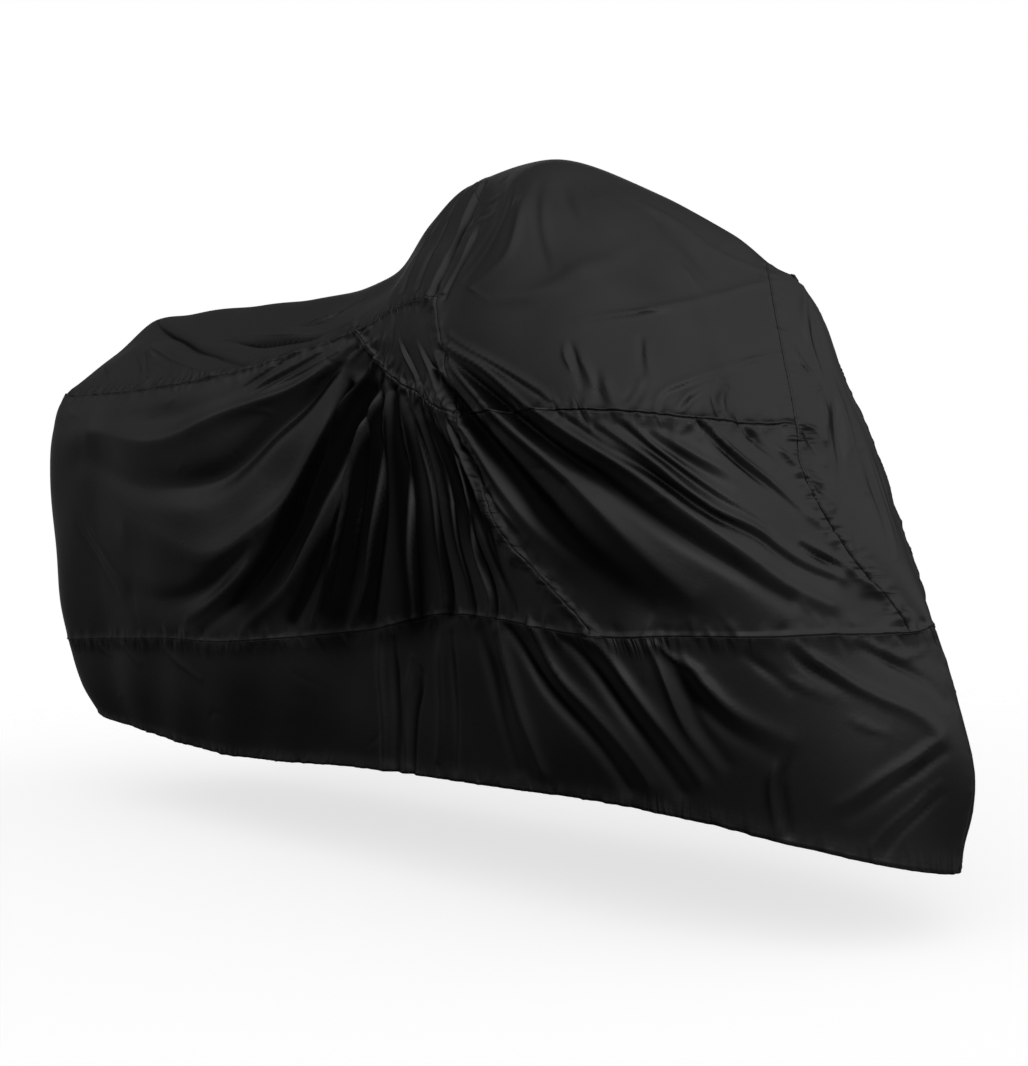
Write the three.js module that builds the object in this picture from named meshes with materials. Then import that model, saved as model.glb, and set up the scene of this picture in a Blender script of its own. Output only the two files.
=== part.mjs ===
import * as THREE from "three";

// Fitted cover for a motorcycle: thin sewn panels, drawn into folds at the waist behind the hood.
// Millimetres. X runs forward, Y to the left and Z up. The origin is under the crown of the hood.

// Driving dimensions
const SHEET = 2;             // thickness of the coated cloth with its coating
const SEAM_GAP = 0.4;        // clear distance between two panels, measured along the cloth
const TIP_INSET = 2.5;       // how far the pointed end of the gusset stops short of its corner
const CROWN_HEIGHT = 1498;   // underside of the crown, above the floor that the cover hangs clear of
const LEFT_DEPTH = 0.85;     // folds of the left side, against those of the right side
const CLOTH_COLOR = 0x0b0b0c;

// Base form. Each row is a section of the right half, from the ridge down to the hem, going round
// from the middle of the tail to the middle of the nose. Each place is [x, half width, height], with
// x measured forward from the crown and the height taken from the floor.
const LEVELS = ["ridge", "crown", "upper", "lower", "flank", "waist", "skirt", "drop", "hem"];
const SECTIONS = [
  { name: "tail", ridge: [-1455, 0, 1315], crown: [-1500, 0, 1245], upper: [-1535, 0, 1115],
    lower: [-1545, 0, 1020], flank: [-1550, 0, 900], waist: [-1545, 0, 685],
    skirt: [-1530, 0, 450], drop: [-1495, 0, 355], hem: [-1450, 0, 270] },
  { name: "tail corner", ridge: [-1420, 0, 1320], crown: [-1465, 130, 1215], upper: [-1495, 260, 1100],
    lower: [-1515, 295, 1000], flank: [-1515, 305, 880], waist: [-1495, 305, 655],
    skirt: [-1485, 280, 435], drop: [-1460, 260, 325], hem: [-1420, 235, 245] },
  { name: "rear", ridge: [-1235, 0, 1315], crown: [-1225, 160, 1220], upper: [-1195, 290, 1085],
    lower: [-1200, 325, 1000], flank: [-1215, 340, 890], waist: [-1215, 345, 675],
    skirt: [-1225, 320, 450], drop: [-1215, 305, 335], hem: [-1165, 280, 220] },
  { name: "seat rear", ridge: [-935, 0, 1305], crown: [-935, 155, 1210], upper: [-905, 300, 1085],
    lower: [-910, 330, 990], flank: [-915, 350, 890], waist: [-915, 360, 675],
    skirt: [-915, 345, 465], drop: [-890, 325, 325], hem: [-860, 300, 200] },
  { name: "seat", ridge: [-655, 0, 1295], crown: [-665, 140, 1205], upper: [-685, 280, 1100],
    lower: [-685, 310, 1000], flank: [-690, 325, 890], waist: [-690, 350, 675],
    skirt: [-675, 355, 470], drop: [-635, 335, 325], hem: [-655, 310, 200] },
  { name: "waist", ridge: [-450, 0, 1320], crown: [-400, 120, 1245], upper: [-350, 235, 1155],
    lower: [-350, 255, 1055], flank: [-345, 280, 935], waist: [-310, 310, 710],
    skirt: [-245, 325, 510], drop: [-225, 320, 355], hem: [-260, 310, 220] },
  { name: "gusset", ridge: [-320, 0, 1425], crown: [-260, 120, 1325], upper: [-235, 235, 1190],
    lower: [-135, 280, 1010], flank: [-95, 305, 870], waist: [-35, 325, 700],
    skirt: [25, 335, 555], drop: [45, 325, 375], hem: [30, 315, 225] },
  { name: "hood rear", ridge: [-180, 0, 1492], crown: [-95, 125, 1372], upper: [-75, 260, 1195],
    lower: [30, 320, 950], flank: [105, 335, 810], waist: [185, 350, 700],
    skirt: [395, 360, 530], drop: [400, 345, 375], hem: [375, 320, 230] },
  { name: "crown", ridge: [60, 0, 1491], crown: [95, 180, 1375], upper: [205, 280, 1170],
    lower: [385, 340, 930], flank: [430, 350, 805], waist: [495, 355, 665],
    skirt: [550, 330, 535], drop: [560, 320, 385], hem: [550, 290, 215] },
  { name: "hood front", ridge: [300, 0, 1379], crown: [355, 140, 1278], upper: [465, 235, 1095],
    lower: [570, 275, 905], flank: [610, 290, 785], waist: [655, 295, 655],
    skirt: [685, 280, 535], drop: [700, 265, 375], hem: [685, 245, 190] },
  { name: "shoulder", ridge: [450, 0, 1283], crown: [475, 95, 1200], upper: [550, 165, 1045],
    lower: [625, 200, 895], flank: [665, 220, 795], waist: [705, 220, 655],
    skirt: [765, 180, 535], drop: [805, 180, 355], hem: [810, 170, 160] },
  { name: "front seam", ridge: [545, 0, 1210], crown: [580, 50, 1145], upper: [630, 95, 1010],
    lower: [670, 125, 895], flank: [695, 145, 810], waist: [760, 110, 670],
    skirt: [835, 40, 530], drop: [875, 75, 355], hem: [870, 65, 130] },
  { name: "nose", ridge: [600, 0, 1180], crown: [640, 0, 1110], upper: [690, 0, 980],
    lower: [725, 0, 890], flank: [760, 0, 790], waist: [810, 0, 655],
    skirt: [855, 0, 540], drop: [925, 0, 310], hem: [900, 0, 120] },
];

// Cells between one section and the next, and down each band of panels
const STEPS_AROUND = [3, 5, 5, 6, 9, 10, 9, 9, 6, 4, 3, 3];
const BAND = { top: 6, gusset: 3, side: 13, skirt: 6 };
const ROW_CROWDING = 1.3;    // how much closer the rows of the side band stand under its upper seam

// Places on the net: sections count from the tail, levels from the ridge
const WAIST = 5;
const GUSSET = 6;
const HOOD_REAR = 7;
const FRONT_SEAM = 11;
const UPPER = 2;
const LOWER = 3;
const SKIRT = 6;
const HEM = 8;
const GUSSET_BOW = 2.5;      // how soon the gusset's lower seam swings down from the waist

// Folds of the right side. depth is the height in mm (a trough is negative), reach the half width in mm at
// the two ends of the path, ends the share of the depth left there. A path runs over [section, level].
const FOLDS = [
  // Swags from the waist back to the tail
  { depth: 16, reach: [20, 40], ends: [0.3, 0.4],
    path: [[5.1, 2.5], [4.47, 2.94], [3.85, 3.05], [2.8, 3.5], [1.8, 3.15]] },
  { depth: -24, reach: [22, 52], ends: [0.2, 0.3],
    path: [[5.05, 2.55], [4.44, 3.64], [3.9, 4.2], [2.7, 4.25], [1.75, 3.75]] },
  { depth: 22, reach: [22, 48], ends: [0.2, 0.3],
    path: [[5.2, 3], [4.75, 4.3], [4.4, 4.78], [3.75, 5.05], [2.45, 4.75]] },
  { depth: -13, reach: [24, 34], ends: [0.2, 0.3], path: [[4.3, 4.9], [3.7, 5.4], [2.5, 5.45]] },
  { depth: -42, reach: [22, 34], ends: [0.2, 0.4],
    path: [[5.05, 2.9], [4.85, 4.05], [4.48, 4.95], [3.7, 5.85]] },
  { depth: 24, reach: [20, 26], ends: [0.2, 0.3], path: [[5.5, 2.95], [5.3, 3.7], [4.8, 4.9], [4.2, 5.85]] },
  // Folds that fall from the waist and the gathered seam
  { depth: -28, reach: [20, 28], ends: [0.3, 0.5], path: [[5.35, 3.1], [5.02, 4.4], [4.52, 5.75]] },
  { depth: -24, reach: [20, 24], ends: [0.3, 0.5], path: [[5.42, 3.3], [5.22, 4.5], [4.9, 5.8]] },
  { depth: 11, reach: [18, 20], ends: [0.4, 0.5], path: [[5.56, 3], [5.36, 4.55], [4.95, 5.95]] },
  { depth: -30, reach: [20, 26], ends: [0.3, 0.5], path: [[5.55, 3.15], [5.46, 4.45], [5.12, 5.85]] },
  { depth: 12, reach: [18, 20], ends: [0.4, 0.5], path: [[5.75, 3.05], [5.75, 4.6], [5.55, 5.95]] },
  { depth: -30, reach: [20, 26], ends: [0.3, 0.5], path: [[5.8, 3.15], [5.85, 4.45], [5.65, 5.9]] },
  { depth: 8, reach: [18, 20], ends: [0.4, 0.5], path: [[6, 3.15], [6.11, 4.5], [6, 5.95]] },
  { depth: -24, reach: [20, 26], ends: [0.3, 0.5], path: [[6.15, 3.15], [6.33, 4.45], [6.12, 5.95]] },
  { depth: -22, reach: [20, 24], ends: [0.3, 0.5], path: [[6.55, 3.1], [6.68, 4.5], [6.4, 5.95]] },
  { depth: -26, reach: [18, 26], ends: [0.3, 0.4], path: [[6.75, 3.15], [6.86, 4.7], [6.55, 5.85]] },
  // Fan of folds from the lower corner of the gusset
  { depth: 14, reach: [18, 26], ends: [0.3, 0.2], path: [[7.04, 3.1], [7.23, 4.15], [7.4, 5.15]] },
  { depth: -24, reach: [18, 30], ends: [0.3, 0.2],
    path: [[6.95, 2.75], [7.26, 3.5], [7.43, 4.3], [7.87, 5.6]] },
  { depth: 22, reach: [18, 28], ends: [0.3, 0.3],
    path: [[7.07, 2.55], [7.49, 3.25], [7.73, 4], [8.37, 5.45]] },
  { depth: -20, reach: [18, 20], ends: [0.3, 0.3],
    path: [[7, 2.5], [7.5, 3.05], [7.84, 3.8], [8.48, 4.65], [9.65, 5.5]] },
  { depth: 18, reach: [18, 20], ends: [0.3, 0.4],
    path: [[7.1, 2.45], [7.63, 2.97], [8.01, 3.6], [8.84, 4.6], [10.2, 5.6]] },
  { depth: -8, reach: [18, 18], ends: [0.3, 0.3], path: [[7.97, 3.25], [8.82, 4.33], [10.5, 5.25]] },
  { depth: 10, reach: [18, 18], ends: [0.4, 0.3], path: [[9.02, 3.05], [10, 3.92], [10.9, 4.7]] },
  // Hood
  { depth: 9, reach: [16, 16], ends: [0.3, 0.5], path: [[7.08, 0.35], [6.85, 1], [6.9, 2]] },
  { depth: -11, reach: [16, 16], ends: [0.3, 0.5], path: [[7.17, 0.4], [6.98, 1.1], [6.98, 1.95]] },
  { depth: -8, reach: [22, 22], ends: [0.2, 0.3], path: [[7.79, 0.7], [7.79, 1.15], [7.4, 1.85]] },
  { depth: 7, reach: [22, 22], ends: [0.2, 0.3], path: [[8.02, 0.8], [7.95, 1.4], [7.5, 1.95]] },
  { depth: 8, reach: [18, 20], ends: [0.3, 0.6],
    path: [[8.26, 2.25], [8.81, 2], [9.93, 1.5], [11.15, 0.7]] },
  { depth: 7, reach: [18, 18], ends: [0.5, 0.3], path: [[8.6, 2.9], [9.05, 2.6], [10.05, 2.25]] },
  // Front
  { depth: 8, reach: [18, 20], ends: [0.3, 0.3], path: [[11.75, 1.8], [11.76, 2.5], [11.72, 4.1]] },
  { depth: -8, reach: [18, 18], ends: [0.3, 0.3], path: [[11.66, 2.35], [11.55, 3.75], [11.4, 4.3]] },
  // Seat and tail
  { depth: -10, reach: [20, 20], ends: [0.3, 0.5],
    path: [[1.4, 0.3], [2.25, 0.9], [2.95, 1.35], [3.95, 1.85]] },
  { depth: 9, reach: [20, 20], ends: [0.3, 0.3], path: [[1.96, 1.12], [2.95, 1.75], [3.43, 1.92]] },
  { depth: 8, reach: [20, 18], ends: [0.2, 0.4], path: [[3.4, 1.15], [4.5, 1.62], [4.92, 1.75]] },
  { depth: -9, reach: [20, 18], ends: [0.2, 0.4], path: [[3.1, 1.1], [3.9, 1.4], [4.9, 1.78]] },
  // Skirt
  { depth: -9, reach: [20, 24], ends: [0.3, 0.8], path: [[5.26, 6.15], [5.22, 6.9], [5.25, 7.95]] },
  { depth: 13, reach: [18, 22], ends: [0.5, 0.6], path: [[6.32, 6.1], [6.38, 6.6], [6.57, 7.7]] },
  { depth: -14, reach: [18, 22], ends: [0.5, 0.4], path: [[6.42, 6.1], [6.6, 6.6], [7.25, 7.75]] },
  { depth: 12, reach: [18, 20], ends: [0.5, 0.4], path: [[6.6, 6], [6.75, 6.5], [7.5, 7.65]] },
  { depth: -12, reach: [18, 20], ends: [0.5, 0.4], path: [[6.82, 6.1], [7.1, 6.65], [7.88, 7.7]] },
  { depth: 11, reach: [18, 20], ends: [0.5, 0.4], path: [[7, 6.05], [7.3, 6.5], [8.14, 7.55]] },
  { depth: 13, reach: [18, 22], ends: [0.4, 0.3], path: [[8.06, 6.25], [8.4, 6.65], [9.15, 7.05]] },
  { depth: 12, reach: [18, 20], ends: [0.4, 0.4], path: [[9.45, 6.1], [10.2, 6.5], [11.25, 6.9]] },
  { depth: 9, reach: [18, 18], ends: [0.5, 0.3], path: [[11.25, 6.97], [10.5, 7.22], [9.72, 7.54]] },
];
const PATH_STEPS = 10;       // straight pieces that each leg of a fold's path is measured by

// Point on a smooth curve through evenly counted places, with given neighbours beyond its two ends
function onCurve(places, at, before, after) {
  const leg = Math.min(Math.max(Math.floor(at), 0), places.length - 2);
  const t = at - leg;
  const p0 = leg === 0 ? before : places[leg - 1];
  const p1 = places[leg];
  const p2 = places[leg + 1];
  const p3 = leg === places.length - 2 ? after : places[leg + 2];
  const value = (a, b, c, d) =>
    b + 0.5 * t * (c - a + t * (2 * a - 5 * b + 4 * c - d + t * (3 * (b - c) + d - a)));
  return new THREE.Vector3(
    value(p0.x, p1.x, p2.x, p3.x),
    value(p0.y, p1.y, p2.y, p3.y),
    value(p0.z, p1.z, p2.z, p3.z),
  );
}

const mirrored = (p) => new THREE.Vector3(p.x, -p.y, p.z);
const beyond = (last, previous) => last.clone().multiplyScalar(2).sub(previous);

// The net of the right half in the part's own frame
const NET = LEVELS.map((level) => SECTIONS.map((section) => {
  const [x, half, height] = section[level];
  return new THREE.Vector3(x, -half, height - CROWN_HEIGHT);
}));

// Smooth base surface of the right half at a place (section, level)
function basePoint(section, level) {
  const column = NET.map((row) =>
    onCurve(row, section, mirrored(row[1]), mirrored(row[row.length - 2])));
  const end = column.length - 1;
  return onCurve(column, level, mirrored(column[1]), beyond(column[end], column[end - 1]));
}

// Outward direction of the base surface
function baseNormal(section, level) {
  const step = 0.02;
  const lastSection = SECTIONS.length - 1;
  const along = basePoint(Math.min(section + step, lastSection), level)
    .sub(basePoint(Math.max(section - step, 0), level));
  const down = basePoint(section, Math.min(level + step, HEM))
    .sub(basePoint(section, Math.max(level - step, 0)));
  return down.cross(along).normalize();
}

// Each fold as short straight pieces in space, for one side of the cover
function traceFold(fold, side) {
  const places = fold.path.map(([section, level]) => new THREE.Vector3(section, level, 0));
  const legs = places.length - 1;
  const before = beyond(places[0], places[1]);
  const after = beyond(places[legs], places[legs - 1]);
  const points = [];
  for (let i = 0; i <= legs * PATH_STEPS; i += 1) {
    const place = onCurve(places, i / PATH_STEPS, before, after);
    const point = basePoint(place.x, place.y);
    points.push(side > 0 ? mirrored(point) : point);
  }
  const depth = side > 0 ? fold.depth * LEFT_DEPTH : fold.depth;
  const [reachStart, reachEnd] = fold.reach;
  const widest = Math.max(reachStart, reachEnd) * 3;
  const box = new THREE.Box3().setFromPoints(points).expandByScalar(widest);
  return { points, depth, reachStart, reachEnd, ends: fold.ends, box };
}
const TRACES = FOLDS.flatMap((fold) => [traceFold(fold, -1), traceFold(fold, 1)]);

const ease = (t) => t * t * (3 - 2 * t);
const blend = (a, b, t) => a + (b - a) * t;

// Height that one fold adds at a point of the base surface
function foldHeight(trace, point) {
  if (!trace.box.containsPoint(point)) return 0;
  let nearest = Infinity;
  let at = 0;
  const leg = new THREE.Vector3();
  const offset = new THREE.Vector3();
  for (let i = 0; i + 1 < trace.points.length; i += 1) {
    leg.subVectors(trace.points[i + 1], trace.points[i]);
    offset.subVectors(point, trace.points[i]);
    const t = Math.min(Math.max(offset.dot(leg) / leg.lengthSq(), 0), 1);
    const distance = offset.addScaledVector(leg, -t).length();
    if (distance < nearest) {
      nearest = distance;
      at = (i + t) / (trace.points.length - 1);
    }
  }
  const reach = blend(trace.reachStart, trace.reachEnd, at);
  const third = 1 / 3;
  const share = at < third
    ? blend(trace.ends[0], 1, ease(at / third))
    : blend(1, trace.ends[1], ease((at - third) / (1 - third)));
  return trace.depth * share * Math.exp(-((nearest / reach) ** 2));
}

// Folded surface of one side of the cover
function foldedPoint(section, level, side) {
  const point = basePoint(section, level);
  const normal = baseNormal(section, level);
  if (side > 0) {
    point.y = -point.y;
    normal.y = -normal.y;
  }
  const height = TRACES.reduce((sum, trace) => sum + foldHeight(trace, point), 0);
  return point.addScaledVector(normal, height);
}

// Level of the gusset's lower seam: it leaves the upper seam at the waist and reaches the lower level
function gussetSeam(section) {
  if (section <= WAIST) return UPPER;
  if (section >= GUSSET) return LOWER;
  return UPPER + 1 - (1 - (section - WAIST)) ** GUSSET_BOW;
}

// The grid of the whole cover: columns go round from tail to nose, rows go down from ridge to hem
const COLUMNS = [0];
STEPS_AROUND.forEach((steps, section) => {
  for (let i = 1; i <= steps; i += 1) COLUMNS.push(section + i / steps);
});
function rowsAt(section) {
  const seam = gussetSeam(section);
  const rows = [];
  const fill = (from, to, steps, crowding = 1) => {
    for (let i = 0; i < steps; i += 1) rows.push(blend(from, to, (i / steps) ** crowding));
  };
  fill(0, UPPER, BAND.top);
  fill(UPPER, seam, BAND.gusset);
  fill(seam, SKIRT, BAND.side, ROW_CROWDING);
  fill(SKIRT, HEM, BAND.skirt);
  rows.push(HEM);
  return rows;
}
const columnOf = (section) => STEPS_AROUND.slice(0, section).reduce((sum, n) => sum + n, 0);
const LAST_COLUMN = COLUMNS.length - 1;
const ROW = {
  ridge: 0,
  upper: BAND.top,
  lower: BAND.top + BAND.gusset,
  skirt: BAND.top + BAND.gusset + BAND.side,
  hem: BAND.top + BAND.gusset + BAND.side + BAND.skirt,
};
const COLUMN = {
  tail: 0,
  waist: columnOf(WAIST),
  hoodRear: columnOf(HOOD_REAR),
  frontSeam: columnOf(FRONT_SEAM),
  nose: LAST_COLUMN,
};

const keyOf = (p) => [p.x, p.y, p.z].map((value) => Math.round(value * 1000)).join(" ");

// Grid points of both sides, with the points of the middle plane held on it
function makeGrid(side) {
  return COLUMNS.map((section, column) => rowsAt(section).map((level, row) => {
    const point = foldedPoint(section, level, side);
    const onMiddle = row === ROW.ridge || column === COLUMN.tail || column === COLUMN.nose;
    if (onMiddle) point.y = 0;
    return point;
  }));
}
const GRIDS = { [-1]: makeGrid(-1), [1]: makeGrid(1) };

// Whether each cell is cut from its first to its third corner: the cut that keeps nearer to the folds
function makeCuts(side) {
  const grid = GRIDS[side];
  return COLUMNS.slice(1).map((section, column) => {
    const middleSection = (COLUMNS[column] + section) / 2;
    const [levels, nextLevels] = [rowsAt(COLUMNS[column]), rowsAt(section)];
    return levels.slice(1).map((level, row) => {
      const middleLevel = (levels[row] + level + nextLevels[row] + nextLevels[row + 1]) / 4;
      const middle = foldedPoint(middleSection, middleLevel, side);
      const missedBy = (p, q) => p.clone().add(q).divideScalar(2).distanceTo(middle);
      return missedBy(grid[column][row], grid[column + 1][row + 1])
        <= missedBy(grid[column + 1][row], grid[column][row + 1]);
    });
  });
}
const CUTS = { [-1]: makeCuts(-1), [1]: makeCuts(1) };

// Corners of the two triangles of a cell, wound to face outward on either side. home is the place in the
// whole grid that the given grid starts at.
function cellTriangles(grid, column, row, side, home) {
  const a = grid[column][row];
  const b = grid[column + 1][row];
  const c = grid[column + 1][row + 1];
  const d = grid[column][row + 1];
  const cut = CUTS[side][home.column + column][home.row + row];
  const triangles = cut ? [[a, d, c], [a, c, b]] : [[a, d, b], [b, d, c]];
  return side < 0 ? triangles : triangles.map(([p, q, r]) => [p, r, q]);
}

// Smooth outward directions over the whole cover, shared by panels that meet at a seam
const NORMALS = new Map();
for (const side of [-1, 1]) {
  const grid = GRIDS[side];
  for (let column = 0; column < LAST_COLUMN; column += 1) {
    for (let row = 0; row < ROW.hem; row += 1) {
      for (const [a, b, c] of cellTriangles(grid, column, row, side, { column: 0, row: 0 })) {
        const facing = b.clone().sub(a).cross(c.clone().sub(a));
        for (const corner of [a, b, c]) {
          const key = keyOf(corner);
          if (!NORMALS.has(key)) NORMALS.set(key, new THREE.Vector3());
          NORMALS.get(key).add(facing);
        }
      }
    }
  }
}
NORMALS.forEach((normal) => normal.normalize());

// Outer and inner corners of a panel's part on one side, drawn back from its seams by half the seam gap.
// open names the edges that are seams: first and last column, top and bottom row, or a pointed tip.
function panelPart(side, span, open) {
  const grid = GRIDS[side];
  const columns = span.columns[1] - span.columns[0];
  const rows = span.rows[1] - span.rows[0];
  const source = (i, j) => grid[span.columns[0] + i][span.rows[0] + j];
  const clampColumn = (i) => Math.min(Math.max(i, 0), columns);
  const clampRow = (j) => Math.min(Math.max(j, 0), rows);
  const drawBack = (point, home, neighbour, before, after) => {
    const inward = neighbour.clone().sub(home);
    const across = after.clone().sub(before).cross(NORMALS.get(keyOf(home)));
    if (inward.length() < SEAM_GAP || across.length() < SEAM_GAP) return;
    across.setLength(SEAM_GAP / 2).multiplyScalar(Math.sign(across.dot(inward)));
    point.add(across);
  };
  const outer = [];
  const inner = [];
  for (let i = 0; i <= columns; i += 1) {
    outer.push([]);
    inner.push([]);
    for (let j = 0; j <= rows; j += 1) {
      const home = source(i, j);
      const point = home.clone();
      const upDown = [source(i, clampRow(j - 1)), source(i, clampRow(j + 1))];
      const foreAft = [source(clampColumn(i - 1), j), source(clampColumn(i + 1), j)];
      if (i === 0 && open.first) drawBack(point, home, source(1, j), ...upDown);
      if (i === columns && open.last) drawBack(point, home, source(columns - 1, j), ...upDown);
      if (j === 0 && open.top) drawBack(point, home, source(i, 1), ...foreAft);
      if (j === rows && open.bottom) drawBack(point, home, source(i, rows - 1), ...foreAft);
      if (i === 0 && open.tip) {
        const way = source(1, Math.floor(rows / 2)).clone().sub(home).normalize();
        point.copy(home).addScaledVector(way, TIP_INSET);
      }
      outer[i].push(point);
      inner[i].push(point.clone().addScaledVector(NORMALS.get(keyOf(home)), -SHEET));
    }
  }
  return { outer, inner, columns, rows, side, home: { column: span.columns[0], row: span.rows[0] } };
}

// One closed sheet from its parts: outer face, inner face and a rim along every free edge
function makeSheet(parts) {
  const positions = [];
  const numbers = new Map();
  const numberOf = (point) => {
    const key = keyOf(point);
    if (!numbers.has(key)) {
      numbers.set(key, positions.length / 3);
      positions.push(point.x, point.y, point.z);
    }
    return numbers.get(key);
  };
  const outerTriangles = [];
  const innerOf = new Map();
  for (const part of parts) {
    for (let i = 0; i <= part.columns; i += 1) {
      for (let j = 0; j <= part.rows; j += 1) {
        innerOf.set(numberOf(part.outer[i][j]), numberOf(part.inner[i][j]));
      }
    }
    for (let i = 0; i < part.columns; i += 1) {
      for (let j = 0; j < part.rows; j += 1) {
        for (const corners of cellTriangles(part.outer, i, j, part.side, part.home)) {
          const [a, b, c] = corners.map(numberOf);
          if (a !== b && b !== c && c !== a) outerTriangles.push([a, b, c]);
        }
      }
    }
  }
  const faces = [];
  const edges = new Set();
  for (const [a, b, c] of outerTriangles) {
    faces.push(a, b, c, innerOf.get(c), innerOf.get(b), innerOf.get(a));
    for (const [from, to] of [[a, b], [b, c], [c, a]]) edges.add(`${from} ${to}`);
  }
  for (const edge of edges) {
    const [from, to] = edge.split(" ").map(Number);
    if (edges.has(`${to} ${from}`)) continue;
    const innerFrom = innerOf.get(from);
    const innerTo = innerOf.get(to);
    faces.push(from, innerFrom, innerTo, from, innerTo, to);
  }
  const geometry = new THREE.BufferGeometry();
  geometry.setAttribute("position", new THREE.Float32BufferAttribute(positions, 3));
  geometry.setIndex(faces);
  return geometry;
}

const cloth = new THREE.MeshStandardMaterial({ color: CLOTH_COLOR, roughness: 0.55, metalness: 0 });
const cover = new THREE.Group();

// Adds a panel that spans the given columns and rows, on one side or joined over the middle
function addPanel(name, sides, span, open) {
  const mesh = new THREE.Mesh(makeSheet(sides.map((side) => panelPart(side, span, open))), cloth);
  mesh.name = name;
  cover.add(mesh);
}

// Panels over the middle
addPanel("rear_top_panel", [-1, 1],
  { columns: [COLUMN.tail, COLUMN.hoodRear], rows: [ROW.ridge, ROW.upper] },
  { last: true, bottom: true });
addPanel("hood_panel", [-1, 1],
  { columns: [COLUMN.hoodRear, COLUMN.frontSeam], rows: [ROW.ridge, ROW.lower] },
  { first: true, last: true, bottom: true });
addPanel("front_panel", [-1, 1],
  { columns: [COLUMN.frontSeam, COLUMN.nose], rows: [ROW.ridge, ROW.skirt] },
  { first: true, bottom: true });

// Panels of each side
for (const [side, label] of [[-1, "right"], [1, "left"]]) {
  addPanel(`side_gusset_${label}`, [side],
    { columns: [COLUMN.waist, COLUMN.hoodRear], rows: [ROW.upper, ROW.lower] },
    { tip: true, last: true, top: true, bottom: true });
  addPanel(`rear_side_panel_${label}`, [side],
    { columns: [COLUMN.tail, COLUMN.hoodRear], rows: [ROW.lower, ROW.skirt] },
    { first: true, last: true, top: true, bottom: true });
  addPanel(`front_side_panel_${label}`, [side],
    { columns: [COLUMN.hoodRear, COLUMN.frontSeam], rows: [ROW.lower, ROW.skirt] },
    { first: true, last: true, top: true, bottom: true });
  addPanel(`skirt_${label}`, [side],
    { columns: [COLUMN.tail, COLUMN.nose], rows: [ROW.skirt, ROW.hem] },
    { first: true, last: true, top: true });
}

export default cover;
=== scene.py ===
import math
from collections import namedtuple

import bpy
import numpy as np
from mathutils import Matrix, Vector


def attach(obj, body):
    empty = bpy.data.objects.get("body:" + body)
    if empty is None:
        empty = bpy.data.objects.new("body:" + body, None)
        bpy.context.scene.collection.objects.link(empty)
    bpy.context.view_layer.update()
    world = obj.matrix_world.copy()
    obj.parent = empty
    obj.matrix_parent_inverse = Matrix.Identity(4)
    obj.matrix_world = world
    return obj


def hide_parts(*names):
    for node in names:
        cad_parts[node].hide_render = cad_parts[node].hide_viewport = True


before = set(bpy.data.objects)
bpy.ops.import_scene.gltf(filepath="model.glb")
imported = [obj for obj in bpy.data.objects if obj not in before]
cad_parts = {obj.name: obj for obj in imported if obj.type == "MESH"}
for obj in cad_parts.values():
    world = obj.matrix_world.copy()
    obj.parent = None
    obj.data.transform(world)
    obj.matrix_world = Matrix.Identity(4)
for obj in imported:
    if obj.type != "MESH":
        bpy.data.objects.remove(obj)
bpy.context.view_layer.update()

# Fitted motorcycle cover of black coated cloth, sewn from thin panels and gathered at the waist.
# Tables are in millimetres and scene objects in metres. X runs forward, Y to the left and Z up.
MM = 0.001
CROWN_HEIGHT = 1498        # underside of the crown, above the floor
SHEET = 1.6                # thickness of the coated cloth
SEAM_GAP = 0.4             # clear distance between two panels
LEFT_DEPTH = 0.85          # folds of the left side, against those of the right side
SEED = 17
TINY = 1e-9                # keeps divisions by a length safe

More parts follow.
